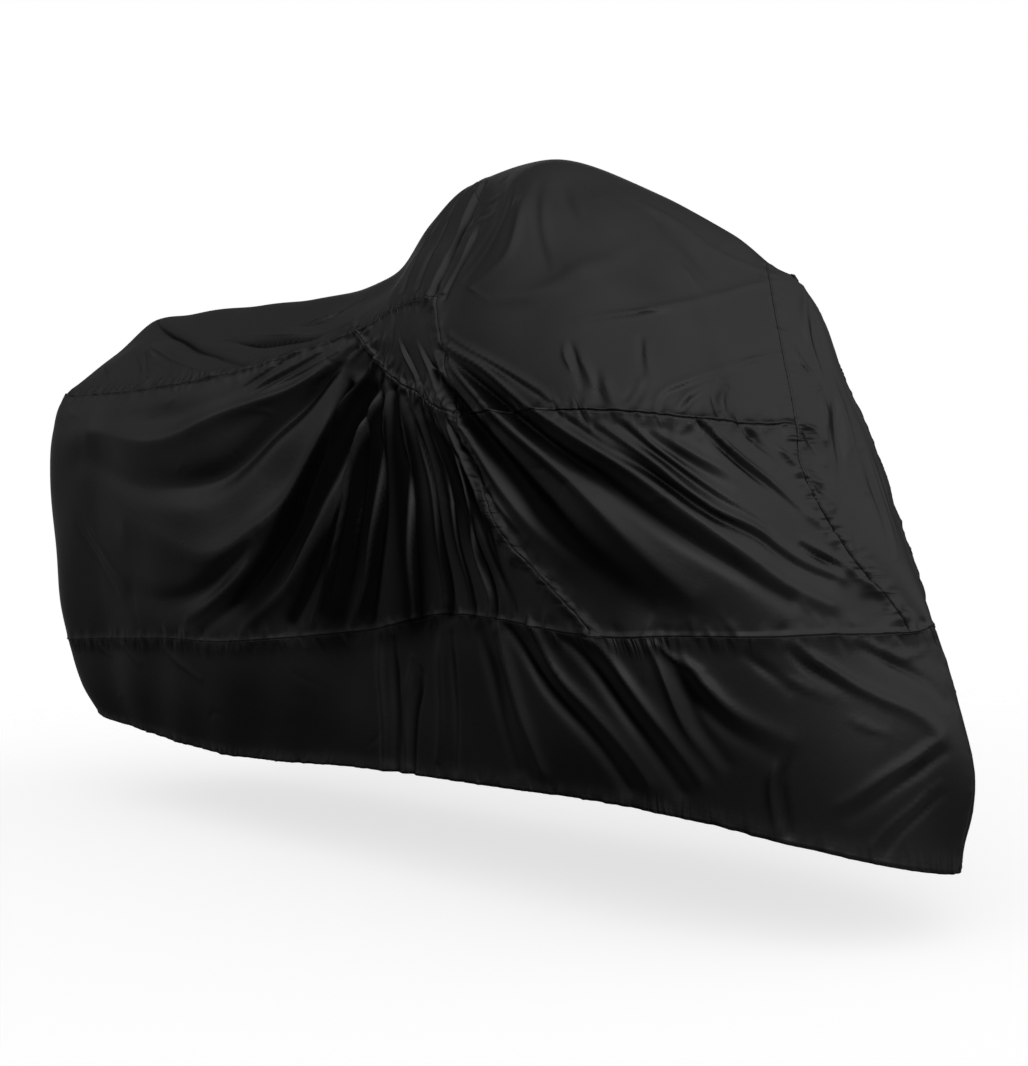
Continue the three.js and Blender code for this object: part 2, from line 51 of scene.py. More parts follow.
# Base form: sections of the right half from tail to nose, with (x, half width, height over the floor)
LEVELS = ("ridge", "crown", "upper", "lower", "flank", "waist", "skirt", "drop", "hem")
Section = namedtuple("Section", ("name",) + LEVELS)
SECTIONS = (
    Section("tail", (-1455, 0, 1315), (-1500, 0, 1245), (-1535, 0, 1115), (-1545, 0, 1020),
            (-1550, 0, 900), (-1545, 0, 685), (-1530, 0, 450), (-1495, 0, 355), (-1450, 0, 270)),
    Section("tail corner", (-1420, 0, 1320), (-1465, 130, 1215), (-1495, 260, 1100), (-1515, 295, 1000),
            (-1515, 305, 880), (-1495, 305, 655), (-1485, 280, 435), (-1460, 260, 325), (-1420, 235, 245)),
    Section("rear", (-1235, 0, 1315), (-1225, 160, 1220), (-1195, 290, 1085), (-1200, 325, 1000),
            (-1215, 340, 890), (-1215, 345, 675), (-1225, 320, 450), (-1215, 305, 335), (-1165, 280, 220)),
    Section("seat rear", (-935, 0, 1305), (-935, 155, 1210), (-905, 300, 1085), (-910, 330, 990),
            (-915, 350, 890), (-915, 360, 675), (-915, 345, 465), (-890, 325, 325), (-860, 300, 200)),
    Section("seat", (-655, 0, 1295), (-665, 140, 1205), (-685, 280, 1100), (-685, 310, 1000),
            (-690, 325, 890), (-690, 350, 675), (-675, 355, 470), (-635, 335, 325), (-655, 310, 200)),
    Section("waist", (-450, 0, 1320), (-400, 120, 1245), (-350, 235, 1155), (-350, 255, 1055),
            (-345, 280, 935), (-310, 310, 710), (-245, 325, 510), (-225, 320, 355), (-260, 310, 220)),
    Section("gusset", (-320, 0, 1425), (-260, 120, 1325), (-235, 235, 1190), (-135, 280, 1010),
            (-95, 305, 870), (-35, 325, 700), (25, 335, 555), (45, 325, 375), (30, 315, 225)),
    Section("hood rear", (-180, 0, 1492), (-95, 125, 1372), (-75, 260, 1195), (30, 320, 950),
            (105, 335, 810), (185, 350, 700), (395, 360, 530), (400, 345, 375), (375, 320, 230)),
    Section("crown", (60, 0, 1491), (95, 180, 1375), (205, 280, 1170), (385, 340, 930),
            (430, 350, 805), (495, 355, 665), (550, 330, 535), (560, 320, 385), (550, 290, 215)),
    Section("hood front", (300, 0, 1379), (355, 140, 1278), (465, 235, 1095), (570, 275, 905),
            (610, 290, 785), (655, 295, 655), (685, 280, 535), (700, 265, 375), (685, 245, 190)),
    Section("shoulder", (450, 0, 1283), (475, 95, 1200), (550, 165, 1045), (625, 200, 895),
            (665, 220, 795), (705, 220, 655), (765, 180, 535), (805, 180, 355), (810, 170, 160)),
    Section("front seam", (545, 0, 1210), (580, 50, 1145), (630, 95, 1010), (670, 125, 895),
            (695, 145, 810), (760, 110, 670), (835, 40, 530), (875, 75, 355), (870, 65, 130)),
    Section("nose", (600, 0, 1180), (640, 0, 1110), (690, 0, 980), (725, 0, 890),
            (760, 0, 790), (810, 0, 655), (855, 0, 540), (925, 0, 310), (900, 0, 120)),
)

# Places on the net: sections count from the tail, levels from the ridge
WAIST, HOOD_REAR, FRONT_SEAM, NOSE = 5, 7, 11, 12
UPPER, LOWER, SKIRT, HEM = 2, 3, 6, 8
GUSSET_BOW = 2.5           # how soon the gusset's lower seam swings down from the waist
NORMAL_STEP = 0.02         # steps on the net that directions and the rows of stitches are measured over
STITCH_STEP = 0.01
WELDS_PER_MM = 1000        # points are one where they agree to a thousandth of a millimetre

# Cells of the sheets: mean length of each span of the net, and the cell that it is cut into
SPAN_LENGTHS = (270, 290, 300, 240, 345, 250, 330, 380, 190, 115, 115, 125)
CELLS_AROUND = (9.0, 9.0, 8.5, 7.0, 5.0, 4.2, 4.2, 5.0, 5.5, 5.5, 5.5, 5.5)
Band = namedtuple("Band", "name length cell")
BANDS = (
    Band("top", 360, 7.0),
    Band("gusset", 235, 6.5),
    Band("side", 580, 6.5),
    Band("skirt", 340, 7.0),
)
SEAM_LINES = (1.2, 2.6, 4.4)   # distances of the extra grid lines beside a seam
SEAM_CLEARANCE = 1.3           # even grid lines keep this many times the last distance clear of the seam
LEFT_ROW_STEP = 2              # rows of the grid that a side panel of the left side takes as one

# Folds of the right side. height is in mm (a trough is negative), reach the half width in mm at both
# ends, fade the share of the height left at both ends, crisp how sharp the crest is (0 to 1). A path
# runs over (section, level).
Fold = namedtuple("Fold", "height reach fade crisp path")

# Swags from the waist back to the tail
SWAGS = (
    Fold(18, (7, 40), (0.4, 0.4), 0.4,
         ((5.23, 2.43), (4.88, 2.66), (4.48, 2.96), (3.87, 3.01), (2.79, 3.55), (1.78, 3.16))),
    Fold(-26, (7, 52), (0.4, 0.3), 0.1,
         ((5.07, 2.46), (4.79, 2.84), (4.43, 3.62), (3.88, 4.2), (2.69, 4.26), (1.71, 3.76))),
    Fold(24, (8, 48), (0.4, 0.3), 0.6,
         ((5.42, 2.66), (5.05, 3.45), (4.74, 4.3), (4.39, 4.78), (3.78, 5.04), (2.45, 4.73))),
    Fold(-15, (14, 34), (0.2, 0.3), 0.1,
         ((4.32, 4.86), (4.13, 5.11), (3.69, 5.4), (3, 5.54), (2.46, 5.45))),
    Fold(8, (8, 12), (0.3, 0.3), 0.4, ((4.33, 5.05), (4.14, 5.31), (3.79, 5.55), (3.4, 5.71))),
)

# Deep valley beside the swags
VALLEY = (
    Fold(-34, (12, 26), (0.5, 0.15), 0.7,
         ((5, 3.17), (4.84, 4.07), (4.63, 4.58), (4.48, 4.94), (4.17, 5.46), (3.67, 5.86))),
    Fold(22, (14, 22), (0.25, 0.3), 0.8,
         ((5.58, 2.74), (5.33, 3.64), (5.03, 4.4), (4.78, 4.9), (4.52, 5.42), (4.19, 5.83))),
)

# Folds that fall from the gathered seam
FALLS = (
    Fold(-21, (13, 24), (0.2, 0.5), 0.8,
         ((5.31, 2.93), (5.19, 3.83), (5.01, 4.41), (4.86, 4.83), (4.7, 5.34), (4.51, 5.77))),
    Fold(9, (6, 9), (0.2, 0.4), 0.8,
         ((5.05, 4.42), (4.96, 4.76), (4.88, 5.08), (4.79, 5.41), (4.66, 5.83))),
    Fold(-14, (10, 16), (0.3, 0.5), 0.8, ((5.08, 4.32), (4.99, 4.71), (4.89, 5.12), (4.74, 5.74))),
    Fold(7, (5, 8), (0.3, 0.4), 0.8, ((5.26, 4.24), (5.14, 4.72), (5.02, 5.14), (4.84, 5.79))),
    Fold(-21, (8, 17), (0.3, 0.5), 0.8,
         ((5.31, 3.21), (5.27, 3.99), (5.18, 4.52), (5.05, 5.09), (4.83, 5.82))),
    Fold(13, (6, 11), (0.25, 0.5), 0.6,
         ((5.56, 2.93), (5.49, 3.88), (5.36, 4.56), (5.14, 5.36), (4.9, 5.96))),
    Fold(-27, (8, 25), (0.3, 0.5), 0.9,
         ((5.44, 3.08), (5.46, 3.86), (5.41, 4.44), (5.31, 5.04), (5.07, 5.82))),
    Fold(14, (6, 11), (0.25, 0.5), 0.6,
         ((5.75, 3.03), (5.83, 3.86), (5.75, 4.58), (5.64, 5.26), (5.55, 5.96))),
    Fold(-27, (8, 25), (0.3, 0.5), 0.9,
         ((5.63, 3.13), (5.78, 3.85), (5.78, 4.45), (5.71, 5.13), (5.6, 5.94))),
    Fold(9, (6, 10), (0.4, 0.5), 0.9,
         ((5.91, 3.16), (6.07, 3.89), (6.12, 4.51), (6.02, 5.26), (5.93, 5.96))),
    Fold(-20, (7, 17), (0.3, 0.5), 0.9,
         ((5.92, 3.19), (6.09, 3.87), (6.14, 4.5), (6.06, 5.25), (5.98, 5.98))),
    Fold(11, (5, 10), (0.25, 0.5), 0.9,
         ((6.28, 3.12), (6.45, 3.71), (6.46, 4.44), (6.27, 5.26), (6.16, 5.99))),
    Fold(-15, (6, 12), (0.3, 0.5), 0.9,
         ((6.18, 3.18), (6.42, 3.75), (6.47, 4.43), (6.28, 5.26), (6.17, 6.01))),
    Fold(11, (5, 10), (0.25, 0.5), 0.9,
         ((6.67, 3.04), (6.74, 3.72), (6.7, 4.59), (6.45, 5.32), (6.3, 5.99))),
    Fold(-18, (6, 13), (0.3, 0.5), 0.9,
         ((6.43, 3.15), (6.63, 3.77), (6.68, 4.58), (6.51, 5.26), (6.32, 5.97))),
    Fold(10, (5, 10), (0.25, 0.4), 0.8,
         ((6.82, 3.06), (6.89, 3.74), (6.86, 4.7), (6.63, 5.39), (6.47, 5.89))),
    Fold(-22, (8, 20), (0.3, 0.3), 0.8,
         ((6.63, 3.15), (6.78, 3.86), (6.83, 4.78), (6.6, 5.44), (6.5, 5.85))),
)

# Fan of folds that leaves the corner of the gusset, across the side seams
FAN = (
    Fold(9, (5, 8), (0.5, 0.3), 0.6, ((6.89, 3.03), (6.95, 3.35), (6.98, 3.64), (7.02, 3.92))),
    Fold(-8, (5, 7), (0.4, 0.3), 0.3, ((6.87, 3.07), (6.95, 3.34), (6.98, 3.64), (7.02, 3.84))),
    Fold(9, (6, 10), (0.5, 0.2), 0.5, ((7.04, 3.97), (7.11, 4.32), (7.17, 4.68), (7.19, 4.96))),
    Fold(-12, (7, 14), (0.4, 0.2), 0.2, ((6.88, 3.15), (6.98, 3.67), (7.07, 4.24), (7.14, 4.9))),
    Fold(15, (8, 26), (0.5, 0.2), 0.4,
         ((7.04, 3.09), (7.15, 3.54), (7.23, 4.14), (7.32, 4.78), (7.4, 5.15))),
    Fold(-26, (9, 30), (0.5, 0.2), 0.1,
         ((6.81, 2.63), (7.07, 2.93), (7.26, 3.48), (7.43, 4.29), (7.63, 4.98), (7.87, 5.6))),
    Fold(22, (8, 28), (0.5, 0.3), 0.4,
         ((7.07, 2.54), (7.26, 2.79), (7.49, 3.25), (7.73, 3.98), (7.99, 4.76), (8.37, 5.43))),
    Fold(-20, (6, 18), (0.4, 0.3), 0.1,
         ((6.96, 2.46), (7.25, 2.69), (7.5, 3.07), (7.84, 3.82), (8.48, 4.65), (9.65, 5.49))),
    Fold(18, (6, 18), (0.5, 0.4), 0.4,
         ((7.1, 2.44), (7.39, 2.62), (7.63, 2.97), (8.01, 3.58), (8.84, 4.59), (10.18, 5.62))),
    Fold(-5, (5, 6), (0.4, 0.4), 0.3, ((7.08, 2.38), (7.42, 2.59), (7.63, 2.81), (7.75, 2.97))),
    Fold(6, (5, 6), (0.4, 0.4), 0.6, ((7.12, 2.35), (7.45, 2.57), (7.67, 2.77), (7.8, 2.98))),
    Fold(-5, (5, 6), (0.5, 0.2), 0.4, ((7.76, 3.05), (8.05, 3.53), (8.39, 3.91), (8.81, 4.24))),
    Fold(5, (5, 6), (0.5, 0.2), 0.6, ((7.8, 3.01), (8.09, 3.43), (8.43, 3.85), (8.85, 4.19))),
    Fold(-9, (6, 10), (0.4, 0.4), 0.3,
         ((7.97, 3.24), (8.32, 3.77), (8.82, 4.33), (9.69, 4.73), (10.48, 5.27))),
    Fold(9, (6, 10), (0.4, 0.4), 0.6,
         ((8.04, 3.17), (8.39, 3.64), (8.89, 4.25), (9.75, 4.66), (10.62, 5.29))),
    Fold(-6, (5, 7), (0.5, 0.2), 0.4, ((8.18, 3.13), (8.47, 3.58), (8.99, 4.13), (9.73, 4.51))),
    Fold(6, (5, 7), (0.5, 0.2), 0.6, ((8.24, 3.09), (8.52, 3.51), (9.04, 4.07), (9.72, 4.47))),
    Fold(-5, (8, 11), (0.4, 0.2), 0.2, ((8.42, 3.3), (8.76, 3.63), (9.21, 3.98))),
    Fold(5, (8, 11), (0.4, 0.2), 0.5, ((8.49, 3.2), (8.89, 3.54), (9.37, 3.87))),
    Fold(-7, (5, 9), (0.5, 0.3), 0.3, ((8.95, 3.04), (9.25, 3.4), (9.91, 3.96), (10.61, 4.46))),
    Fold(9, (5, 9), (0.6, 0.4), 0.6, ((9.02, 3.02), (9.35, 3.38), (10, 3.92), (10.88, 4.69))),
    Fold(-6, (7, 9), (0.3, 0.2), 0.3, ((9.69, 2.97), (10.1, 3.35), (10.78, 3.94))),
    Fold(5, (5, 7), (0.3, 0.3), 0.6, ((10.48, 3.43), (10.74, 3.69), (10.94, 3.95))),
    Fold(4, (5, 5), (0.5, 0.3), 0.6, ((9.86, 3.02), (10.03, 3.19), (9.75, 3.47))),
    Fold(-8, (6, 9), (0.4, 0.3), 0.3, ((10.34, 4.82), (10.65, 5.07), (10.92, 5.25))),
    Fold(7, (6, 9), (0.4, 0.3), 0.5, ((10.37, 4.77), (10.69, 5.04), (10.9, 5.38), (11.04, 5.71))),
)

# Back of the hood
HOOD_BACK = (
    Fold(9, (7, 8), (0.4, 0.5), 0.5, ((7.08, 0.36), (6.8, 0.93), (6.92, 1.53), (6.89, 2.02))),
    Fold(-13, (7, 8), (0.4, 0.5), 0.2, ((7.13, 0.4), (6.86, 1.02), (6.99, 1.57), (6.95, 1.97))),
    Fold(7, (6, 7), (0.3, 0.5), 0.5, ((7.17, 1.03), (7.24, 1.42), (7.2, 1.68), (7.1, 1.96))),
    Fold(-9, (6, 8), (0.3, 0.5), 0.2, ((7.3, 1.2), (7.28, 1.48), (7.21, 1.7), (7.11, 2.02))),
    Fold(-6, (8, 7), (0.3, 0.5), 0.3, ((6.85, 0.16), (6.49, 0.64), (6.38, 1.13), (6.62, 1.86))),
    Fold(5, (7, 7), (0.3, 0.5), 0.5, ((6.73, 0.39), (6.41, 0.78), (6.37, 1.25), (6.5, 1.84))),
    Fold(-6, (8, 7), (0.3, 0.5), 0.3, ((6.47, 0.34), (6.17, 0.66), (5.99, 1.04), (6.17, 1.77))),
    Fold(5, (8, 7), (0.3, 0.5), 0.5, ((6.31, 0.63), (6.03, 0.84), (5.96, 1.25), (6.08, 1.78))),
    Fold(3, (4, 4), (0.3, 0.3), 0.6, ((7.13, 1.11), (7.47, 1.17), (7.69, 1.08))),
    Fold(3, (4, 4), (0.3, 0.3), 0.6, ((7.17, 0.98), (7.44, 1.02), (7.61, 0.95))),
    Fold(3, (4, 4), (0.3, 0.3), 0.6, ((7.21, 0.83), (7.42, 0.87), (7.57, 0.82))),
    Fold(-3, (4, 4), (0.3, 0.3), 0.4, ((7.05, 0.97), (7.36, 1.04), (7.59, 0.96))),
    Fold(3, (5, 5), (0.3, 0.3), 0.6, ((7.33, 1.91), (7.47, 2.01), (7.59, 2.1))),
)

# Dome of the hood
DOME = (
    Fold(-8, (12, 14), (0.2, 0.3), 0.1, ((7.79, 0.7), (7.79, 1.14), (7.63, 1.51), (7.36, 1.85))),
    Fold(7, (12, 14), (0.2, 0.3), 0.3, ((8.02, 0.8), (8.01, 1.26), (7.83, 1.67), (7.45, 1.94))),
    Fold(-4, (8, 9), (0.2, 0.3), 0.2, ((8.09, 0.7), (8.15, 1.09), (8.16, 1.42), (8.17, 1.7))),
    Fold(4, (8, 9), (0.2, 0.3), 0.4, ((8.18, 0.71), (8.22, 1.1), (8.23, 1.42), (8.24, 1.74))),
    Fold(-3, (8, 9), (0.2, 0.2), 0.2, ((8.29, 0.67), (8.4, 0.94), (8.48, 1.2))),
    Fold(3, (7, 8), (0.2, 0.2), 0.4, ((8.38, 0.68), (8.48, 0.92), (8.55, 1.18))),
    Fold(3, (5, 5), (0.3, 0.3), 0.7, ((8.26, 0.38), (8.48, 0.61), (8.64, 0.73), (8.85, 0.82))),
    Fold(6, (8, 9), (0.3, 0.4), 0.6, ((8.66, 0.32), (9, 0.53), (9.42, 0.57), (10.16, 0.68), (11.15, 0.52))),
    Fold(3, (5, 5), (0.3, 0.3), 0.6, ((9.45, 1.24), (9.63, 1.34), (9.83, 1.45))),
    Fold(-3, (6, 6), (0.3, 0.3), 0.3, ((9.12, 0.56), (9.21, 0.75), (9.32, 0.94))),
    Fold(5, (7, 11), (0.3, 0.5), 0.6, ((8.26, 2.24), (8.81, 2.01), (9.94, 1.47), (11.19, 0.65))),
    Fold(-6, (24, 32), (0.3, 0.3), 0.1, ((8.29, 0.73), (8.57, 1.26), (8.91, 1.57), (9.58, 1.6))),
    Fold(6, (22, 30), (0.3, 0.3), 0.1, ((7.99, 1.05), (8.32, 1.57), (8.69, 1.87), (9.38, 1.92))),
    Fold(-6, (22, 28), (0.3, 0.3), 0.1, ((8.94, 0.52), (9.51, 0.79), (10.16, 1.19), (10.36, 1.71))),
    Fold(5, (20, 26), (0.3, 0.3), 0.1, ((7.41, 2.08), (8.06, 2), (8.6, 1.59), (8.98, 1.17))),
    Fold(-5, (14, 18), (0.3, 0.3), 0.1, ((7.52, 0.56), (7.68, 1.18), (7.46, 1.56), (7.21, 1.85))),
)

# Lower hood, above the side seam
LOWER_HOOD = (
    Fold(6, (6, 6), (0.5, 0.5), 0.5, ((8.05, 2.46), (8.01, 2.54), (8, 2.62))),
    Fold(-8, (6, 7), (0.4, 0.4), 0.3, ((8.1, 2.45), (8.06, 2.59), (8.01, 2.79))),
    Fold(8, (6, 7), (0.4, 0.5), 0.5, ((8.13, 2.51), (8.13, 2.62), (8.12, 2.78))),
    Fold(-6, (5, 6), (0.6, 0.3), 0.4, ((8.72, 2.28), (8.65, 2.46), (8.58, 2.66))),
    Fold(4, (5, 7), (0.5, 0.3), 0.5, ((8.76, 2.3), (8.7, 2.48), (8.65, 2.67))),
    Fold(-6, (6, 7), (0.3, 0.6), 0.3, ((8.18, 2.66), (8.12, 2.82), (8.12, 2.95))),
    Fold(6, (7, 8), (0.3, 0.6), 0.5, ((8.25, 2.66), (8.22, 2.81), (8.23, 2.95))),
    Fold(4, (6, 7), (0.4, 0.6), 0.5, ((8.61, 2.63), (8.47, 2.76), (8.29, 2.94))),
    Fold(-4, (6, 7), (0.4, 0.6), 0.3, ((8.52, 2.71), (8.38, 2.83), (8.26, 2.96))),
    Fold(-6, (7, 8), (0.7, 0.3), 0.4, ((8.6, 2.96), (8.7, 2.8), (9.03, 2.65), (10.07, 2.31))),
    Fold(6, (9, 10), (0.6, 0.3), 0.5, ((8.55, 2.97), (8.68, 2.8), (9.03, 2.62), (10.06, 2.26))),
    Fold(-5, (7, 9), (0.7, 0.3), 0.4, ((8.82, 2.93), (8.99, 2.79), (9.31, 2.64))),
    Fold(5, (8, 9), (0.6, 0.3), 0.5, ((8.76, 2.93), (8.96, 2.77), (9.28, 2.6))),
    Fold(-8, (6, 8), (0.6, 0.3), 0.3, ((9.31, 2.88), (9.34, 2.72), (9.55, 2.54))),
    Fold(8, (6, 8), (0.6, 0.3), 0.5, ((9.4, 2.9), (9.46, 2.74), (9.71, 2.58))),
    Fold(4, (6, 7), (0.3, 0.3), 0.6, ((10.14, 2.22), (10.5, 2.08), (10.9, 1.93))),
)

# Front corner, puckered seam and nose
FRONT = (
    Fold(7, (7, 8), (0.4, 0.3), 0.6, ((11.89, 0.52), (11.57, 1.12), (11.52, 1.56), (11.56, 1.97))),
    Fold(-6, (6, 8), (0.3, 0.3), 0.3, ((11.88, 0.88), (11.65, 1.42), (11.65, 1.78), (11.7, 2.18))),
    Fold(6, (5, 6), (0.3, 0.5), 0.6, ((11.16, 1.65), (11.25, 1.89), (11.39, 2.07), (11.45, 2.31))),
    Fold(7, (6, 7), (0.5, 0.3), 0.6, ((11.45, 2.31), (11.47, 2.72), (11.4, 3.21), (11.36, 3.78))),
    Fold(-9, (8, 9), (0.3, 0.3), 0.2, ((11.69, 2.34), (11.59, 3.04), (11.55, 3.74), (11.4, 4.31))),
    Fold(8, (7, 9), (0.3, 0.3), 0.5, ((11.75, 1.8), (11.76, 2.47), (11.74, 3.24), (11.72, 4.14))),
    Fold(-5, (6, 7), (0.3, 0.3), 0.3, ((11.88, 3.51), (11.86, 4.07), (11.85, 4.49), (11.73, 4.9))),
    Fold(4, (6, 7), (0.3, 0.3), 0.5, ((11.94, 3.53), (11.93, 4.08), (11.92, 4.52), (11.8, 4.96))),
    Fold(-3, (4, 5), (0.4, 0.3), 0.4, ((11.38, 4.47), (11.3, 4.72), (11.14, 4.97))),
    Fold(-6, (8, 8), (0.5, 0.4), 0.2, ((11.12, 3.11), (11.21, 3.37), (11.3, 3.58))),
    Fold(5, (6, 7), (0.5, 0.4), 0.5, ((11.1, 3), (11.26, 3.07), (11.39, 3.3))),
    Fold(-6, (8, 8), (0.5, 0.4), 0.2, ((11.1, 4.1), (11.17, 4.22), (11.23, 4.31))),
    Fold(5, (6, 7), (0.5, 0.4), 0.5, ((11.03, 4.03), (11.16, 4.13), (11.26, 4.25))),
)

# Seat and tail
SEAT = (
    Fold(-16, (9, 12), (0.4, 0.5), 0.4, ((1.16, 0.22), (2.22, 0.84), (2.9, 1.3), (3.92, 1.83))),
    Fold(18, (12, 14), (0.4, 0.3), 0.4, ((1.98, 1.1), (2.47, 1.45), (2.97, 1.75), (3.5, 1.97))),
    Fold(5, (6, 7), (0.3, 0.4), 0.5, ((1.8, 1.03), (2.18, 1.45), (2.51, 2))),
    Fold(-4, (6, 7), (0.3, 0.4), 0.3, ((1.68, 1.09), (2.08, 1.52), (2.32, 1.92))),
    Fold(4, (6, 7), (0.3, 0.4), 0.5, ((2.58, 1.59), (2.76, 1.81), (2.86, 2.03))),
    Fold(3, (5, 6), (0.3, 0.4), 0.5, ((1.31, 1.31), (1.66, 1.64), (1.79, 1.92))),
    Fold(14, (12, 8), (0.3, 0.4), 0.4, ((3.4, 1.04), (3.96, 1.3), (4.48, 1.58), (4.94, 1.76))),
    Fold(-16, (12, 8), (0.3, 0.4), 0.2, ((3.02, 1.05), (3.79, 1.33), (4.44, 1.6), (4.84, 1.64))),
    Fold(8, (7, 6), (0.2, 0.4), 0.5, ((4.01, 0.92), (4.32, 1), (4.51, 0.9), (4.7, 0.81))),
    Fold(-10, (8, 6), (0.2, 0.4), 0.3, ((4.03, 0.98), (4.35, 1.07), (4.51, 0.91), (4.73, 0.8))),
    Fold(4, (5, 4), (0.3, 0.5), 0.5, ((4.07, 2.41), (4.28, 2.21), (4.53, 1.94))),
    Fold(-4, (5, 4), (0.3, 0.5), 0.3, ((4.09, 2.5), (4.3, 2.29), (4.57, 2.01))),
    Fold(4, (5, 4), (0.3, 0.5), 0.5, ((4.15, 2.65), (4.39, 2.42), (4.71, 2.2))),
    Fold(-4, (5, 4), (0.3, 0.5), 0.3, ((4.18, 2.71), (4.45, 2.52), (4.76, 2.25))),
    Fold(4, (5, 4), (0.3, 0.5), 0.5, ((4.26, 2.77), (4.54, 2.58), (4.86, 2.36))),
    Fold(-4, (6, 7), (0.3, 0.3), 0.4, ((1.66, 4.67), (1.85, 4.96), (2.24, 5.44))),
    Fold(4, (6, 8), (0.3, 0.3), 0.5, ((1.78, 4.63), (1.98, 4.92), (2.4, 5.39))),
)

# Gusset
GUSSET_FOLDS = (
    Fold(5, (5, 6), (0.3, 0.5), 0.5, ((6.1, 2.41), (6.15, 2.67), (6.32, 2.95))),
    Fold(-5, (4, 5), (0.3, 0.5), 0.3, ((6.19, 2.46), (6.25, 2.7), (6.46, 2.94))),
    Fold(5, (4, 6), (0.3, 0.5), 0.5, ((6.58, 2.43), (6.71, 2.62), (6.82, 2.87))),
    Fold(-5, (4, 5), (0.3, 0.5), 0.3, ((6.69, 2.48), (6.81, 2.65), (6.88, 2.86))),
    Fold(5, (4, 5), (0.3, 0.5), 0.5, ((6.88, 2.49), (6.95, 2.66), (6.99, 2.85))),
    Fold(-4, (8, 7), (0.3, 0.4), 0.2, ((6.1, 2.19), (5.87, 2.45), (5.55, 2.75))),
    Fold(4, (8, 7), (0.3, 0.4), 0.4, ((5.8, 2.27), (5.6, 2.48), (5.44, 2.68))),
)

